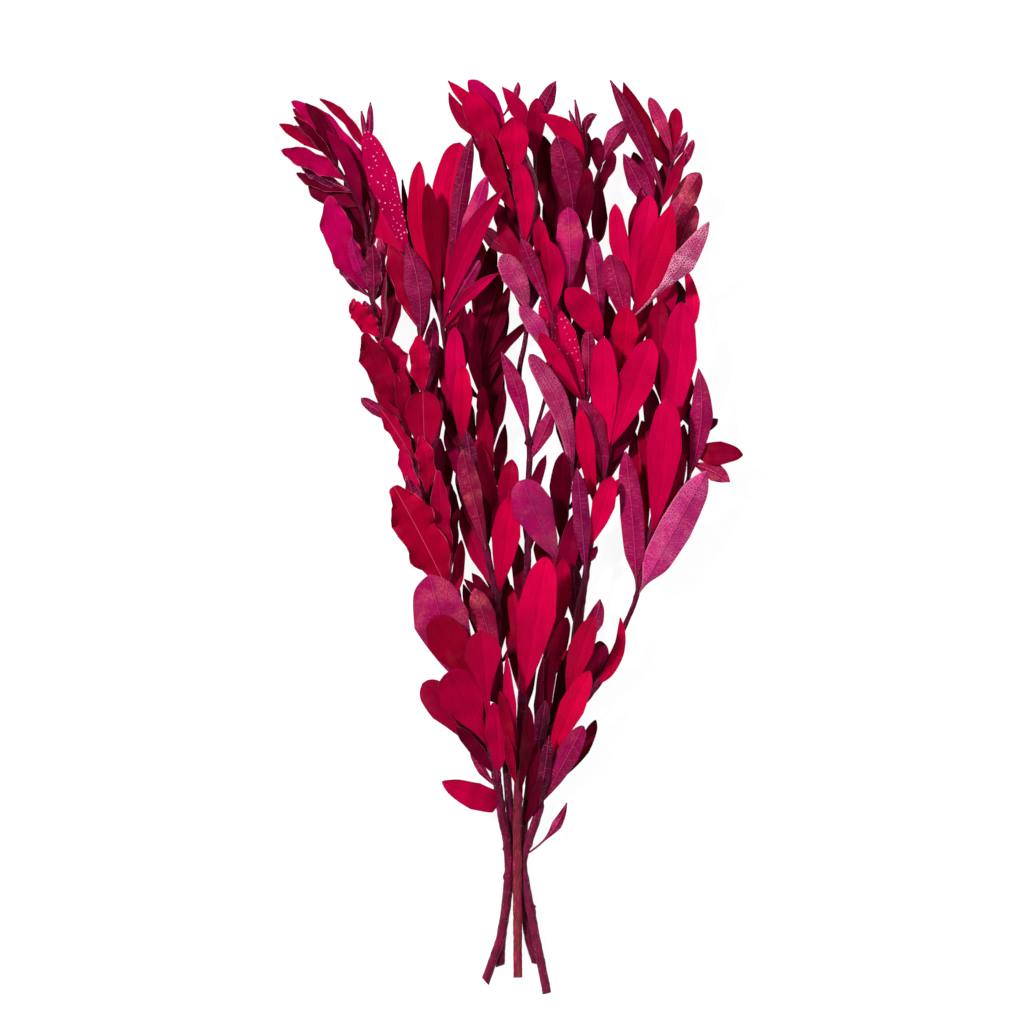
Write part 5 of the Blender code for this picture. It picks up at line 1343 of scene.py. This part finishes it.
def leaf_material(name, under):
    """Dyed leaf skin: veins, rib, pale margin, specks, and bronze where the dye is thin, with
    painted shade and highlights along the margin and by the rib, and a painted sheen on the under
    face.
    """
    s = Shade(name, *(UNDER_SKIN if under else UPPER_SKIN))
    across, along, edge = s.start()
    specks, net, pale_rib = s.split(s.attribute("marks", 0), "Color")
    bronze = s.attribute("marks", 3)
    size = abs(across)
    place = s.joined(across, along)

    broad = s.noise(place, 55.0, 3.0)
    fine = s.noise(place, 1000.0)
    streaks = s.noise(s.joined(across, along * 0.12), 620.0, 3.0)
    creases = s.noise(s.joined(across * 0.3, along), 760.0, 3.0)
    # side veins leave the rib at an angle and fade towards the margin
    lane = along - size * VEIN_SLOPE
    lane = lane + s.noise(place, 240.0) * VEIN_WANDER
    vein = s.math("SINE", lane * (math.tau / VEIN_STEP)).ramp(0.55, 1.0)
    mesh = s.cells(s.joined(across, along * 1.4), 430.0, "DISTANCE_TO_EDGE")[0]
    mesh = mesh.ramp(0.03, 0.20, 1.0, 0.0)
    rib = size.ramp(0.00014, 0.00042, 1.0, 0.0)
    # a band beside the rib: painted shade on the under face, painted highlight on the upper face
    beside_rib = abs(size - 0.0010).ramp(0.0, 0.0006, 1.0, 0.0)
    margin = edge.ramp(0.00020, 0.00062, 1.0, 0.0)
    # painted shade: a thin dark line just inside each leaf's margin, standing in for the dark
    # outline where leaves overlap
    rim = abs(edge - 0.0009).ramp(0.0, 0.0005, 0.5, 0.0)
    s.tint(broad.ramp(0.3, 0.7, 0.0, 0.34), 0.62, 0.5, 0.72)
    s.tint(fine.ramp(0.3, 0.7, 0.0, 0.20), 0.7, 0.6, 0.75)
    # painted shade along the margin
    s.tint(rim, 0.4, 0.35, 0.45)
    if under:
        s.tint(streaks.ramp(0.44, 0.70, 0.0, 0.42), 0.55, 0.42, 0.58)
        # painted highlight: a pale pink sheen on the creases of the under face
        sheen_highlight = creases.ramp(0.46, 0.72) * s.noise(place, 80.0).ramp(0.36, 0.62, 0.12, 1.0)
        s.paint(sheen_highlight * (net * 0.60), SHEEN_HIGHLIGHT)
        # bronze flecks on the under face: the leaf's own bronze, and partly a painted sheen
        flecks = s.noise(s.joined(across, along * 0.3), 1100.0, 3.0).ramp(0.40, 0.64, 0.2, 1.0)
        s.paint(s.noise(place, 46.0, 3.0).ramp(0.48, 0.66) * flecks * (bronze * 0.62), UNDER_BRONZE_AND_SHEEN)
        lines = s.math("MAXIMUM", vein * 0.16, mesh * 0.40)
        lines = lines * s.noise(place, 60.0).ramp(0.42, 0.62, 0.25, 1.0)
        lines = lines * net.ramp(0.7, 1.0, 0.3, 2.0)
        pale = s.mix(net.ramp(0.6, 1.0), rgba(UNDER_VEIN), rgba(SILVER_VEIN))
        s.colour = s.mix(lines, s.colour, pale)
        # painted shade beside the rib's ridge
        s.tint(beside_rib * 0.45, 0.45, 0.4, 0.5)
        s.paint(rib * 0.40, UNDER_RIB)
        # painted highlight: a pale band along the right edge of a netted under face, where a curled
        # edge would catch the light
        curl_highlight = edge.ramp(0.0009, 0.0024, 0.6, 0.0) * net.ramp(0.65, 0.9)
        s.paint(curl_highlight * across.ramp(-0.001, 0.001), CURL_HIGHLIGHT)
        # the pale margin: the leaf's own edge colour, and partly a painted highlight
        s.paint(margin * 0.50, UNDER_MARGIN)
        height = mesh * 0.4 + vein * 0.4
        height = height + (creases * 0.8 + streaks)
    else:
        s.tint(streaks.ramp(0.42, 0.72, 0.0, 0.42), 0.66, 0.55, 0.75)
        s.tint(streaks.ramp(0.28, 0.44, 0.28, 0.0), 1.22, 1.0, 1.1)
        s.tint(vein * 0.12, 0.6, 0.5, 0.6)
        # painted highlight beside the rib, and painted shade in the rib's groove
        s.tint(beside_rib * 0.20, 1.15, 1.0, 1.1)
        s.tint(rib * 0.42, 0.5, 0.5, 0.5)
        line = size.ramp(0.00008, 0.00030, 1.0, 0.0)
        s.paint(line * pale_rib.ramp(0.5, 1.0, 0.0, 0.8), UPPER_RIB)
        # the pale margin: the leaf's own edge colour, and partly a painted highlight
        s.paint(margin * 0.45, UPPER_MARGIN)
        s.paint(s.noise(place, 70.0, 3.0).ramp(0.52, 0.7) * (bronze * 0.35), UPPER_BRONZE)
        height = fine * 0.4 + streaks - vein * 0.4
    dots = s.cells(place, 300.0)
    lone = s.split(dots[1], "Color")[0].ramp(0.50, 0.54)
    reach = s.split(dots[1], "Color")[1].ramp(0.0, 1.0, 0.07, 0.24)
    s.paint(dots[0].ramp(reach * 0.4, reach, 0.85, 0.0) * (lone * specks), SPECK)
    return s.finish(height, 0.00035, 0.45)


def bark_material(name):
    """Dyed bark: lengthwise streaks, dark blots, a magenta bloom and small pale flecks."""
    s = Shade(name, *BARK_SKIN)
    around, along, _ = s.start()
    place = s.joined(around, along)
    streaks = s.noise(s.joined(around, along * 0.14), 900.0, 3.0)
    blots = s.noise(s.joined(around, along * 0.5), 240.0, 3.0)
    bloom = s.noise(place, 70.0, 3.0)
    s.tint(blots.ramp(0.38, 0.66, 0.0, 0.72), 0.36, 0.32, 0.42)
    s.paint(bloom.ramp(0.50, 0.66, 0.0, 0.55), BARK_BLOOM)
    s.tint(streaks.ramp(0.48, 0.72, 0.0, 0.5), 1.9, 2.4, 1.6)
    flecks = s.cells(place, 420.0)
    lone = s.split(flecks[1], "Color")[0].ramp(0.80, 0.84)
    s.paint(flecks[0].ramp(0.06, 0.20, 0.7, 0.0) * lone, BARK_FLECK)
    return s.finish(streaks + blots, 0.0006, 0.7)


def cut_material(name):
    """Bare wood of a cut end, with fine dark grain."""
    s = Shade(name, *CUT_SKIN)
    grain = s.noise(s.attribute("leaf", 1), 1500.0, 3.0)
    s.colour = s.mix(grain.ramp(0.3, 0.7), rgba(CUT_WOOD), rgba(CUT_GRAIN))
    return s.finish(grain, 0.0003, 0.5)


def floor_material():
    s = Shade("studio_floor", *FLOOR_SKIN)
    s.shader.inputs["Base Color"].default_value = (FLOOR_WHITE, FLOOR_WHITE, FLOOR_WHITE, 1.0)
    s.shader.inputs["Emission Color"].default_value = (1.0, 1.0, 1.0, 1.0)
    s.shader.inputs["Emission Strength"].default_value = FLOOR_GLOW
    return s.material


def roots_on(twig, blades):
    """The roots of the leaves that stand on a twig."""
    found = []
    for blade in blades:
        root = blade.curve[0]
        near = min((root - centre).length for centre in twig.centres) < ROOT_NEAR
        if near and (twig.nearest(root)[1] - root).length < ROOT_ON:
            found.append(tuple(root))
    return found


def dress(stem, twigs, blades, shift, materials):
    """The leaves and the bark of one stem, as two pieces."""
    draw = random.Random(stem)
    leaves, bark = Heap(), Heap()
    for blade in blades:
        usual = UPPER_LOOKS if blade.facing.z > 0 else UNDER_LOOKS
        # leaves that lie under the others take dark looks, partly as painted shade
        if blade.form in ("inner", "pressed"):
            usual = INNER_LOOKS
        look = LOOKS[blade.look or draw.choice(usual)]
        Leaf(blade, draw).build(leaves, look)
    for twig in twigs:
        bark_mesh(bark, twig, roots_on(twig, blades), draw)
    for heap, kind, finish in ((leaves, "leaves", materials[:2]), (bark, "bark", materials[2:])):
        item = heap.piece(stem + "_" + kind, finish, shift)
        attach(item, "root")
        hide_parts(stem)
        print(item.name, len(item.data.vertices), "points",
              sum(len(p.vertices) - 2 for p in item.data.polygons), "triangles")


def soft_light(name, way, strength, width):
    lamp = bpy.data.lights.new(name, "SUN")
    lamp.energy = strength
    lamp.angle = math.radians(width)
    item = bpy.data.objects.new(name, lamp)
    item.location = Vector(way) * LAMP_REACH
    item.rotation_euler = Vector(way).to_track_quat("Z", "Y").to_euler()
    bpy.context.scene.collection.objects.link(item)


def studio(shift):
    """A pale floor, soft light, and the camera that looks straight down from far above."""
    scene = bpy.context.scene
    scene.view_settings.view_transform = "Standard"
    world = bpy.data.worlds.new("studio")
    world.use_nodes = True
    world.node_tree.nodes["Background"].inputs["Color"].default_value = (1, 1, 1, 1)
    world.node_tree.nodes["Background"].inputs["Strength"].default_value = WORLD_LIGHT
    scene.world = world
    mesh = bpy.data.meshes.new("floor")
    corners = [(-FLOOR, -FLOOR, 0), (FLOOR, -FLOOR, 0), (FLOOR, FLOOR, 0), (-FLOOR, FLOOR, 0)]
    mesh.from_pydata(corners, [], [(0, 1, 2, 3)])
    mesh.materials.append(floor_material())
    floor = bpy.data.objects.new("floor", mesh)
    floor.location.z = -FLOOR_DROP
    scene.collection.objects.link(floor)
    for lamp in LAMPS:
        soft_light(*lamp)
    lens = bpy.data.cameras.new("camera")
    lens.sensor_width = SENSOR
    lens.lens = SENSOR * (CAMERA_HEIGHT - MIDDLE_HEIGHT) / (PICTURE_SIZE * PIXEL)
    lens.clip_end = FARTHEST
    camera = bpy.data.objects.new("camera", lens)
    camera.location = at(PICTURE_SIZE / 2, PICTURE_SIZE / 2) + shift + Vector((0, 0, CAMERA_HEIGHT))
    scene.collection.objects.link(camera)
    scene.camera = camera


def main():
    twigs, blades = lay_out()
    corners = [v for stem in ROUTES for solid in twigs[stem] + blades[stem] for v in solid.skin()[0]]
    low, high = box(corners)
    shift = Vector((-(low[0] + high[0]) / 2, -(low[1] + high[1]) / 2, -low[2]))
    materials = (leaf_material("leaf_upper", False), leaf_material("leaf_under", True),
                 bark_material("bark"), cut_material("cut_wood"))
    for stem in ROUTES:
        dress(stem, twigs[stem], blades[stem], shift, materials)
    studio(shift)
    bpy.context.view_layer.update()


main()
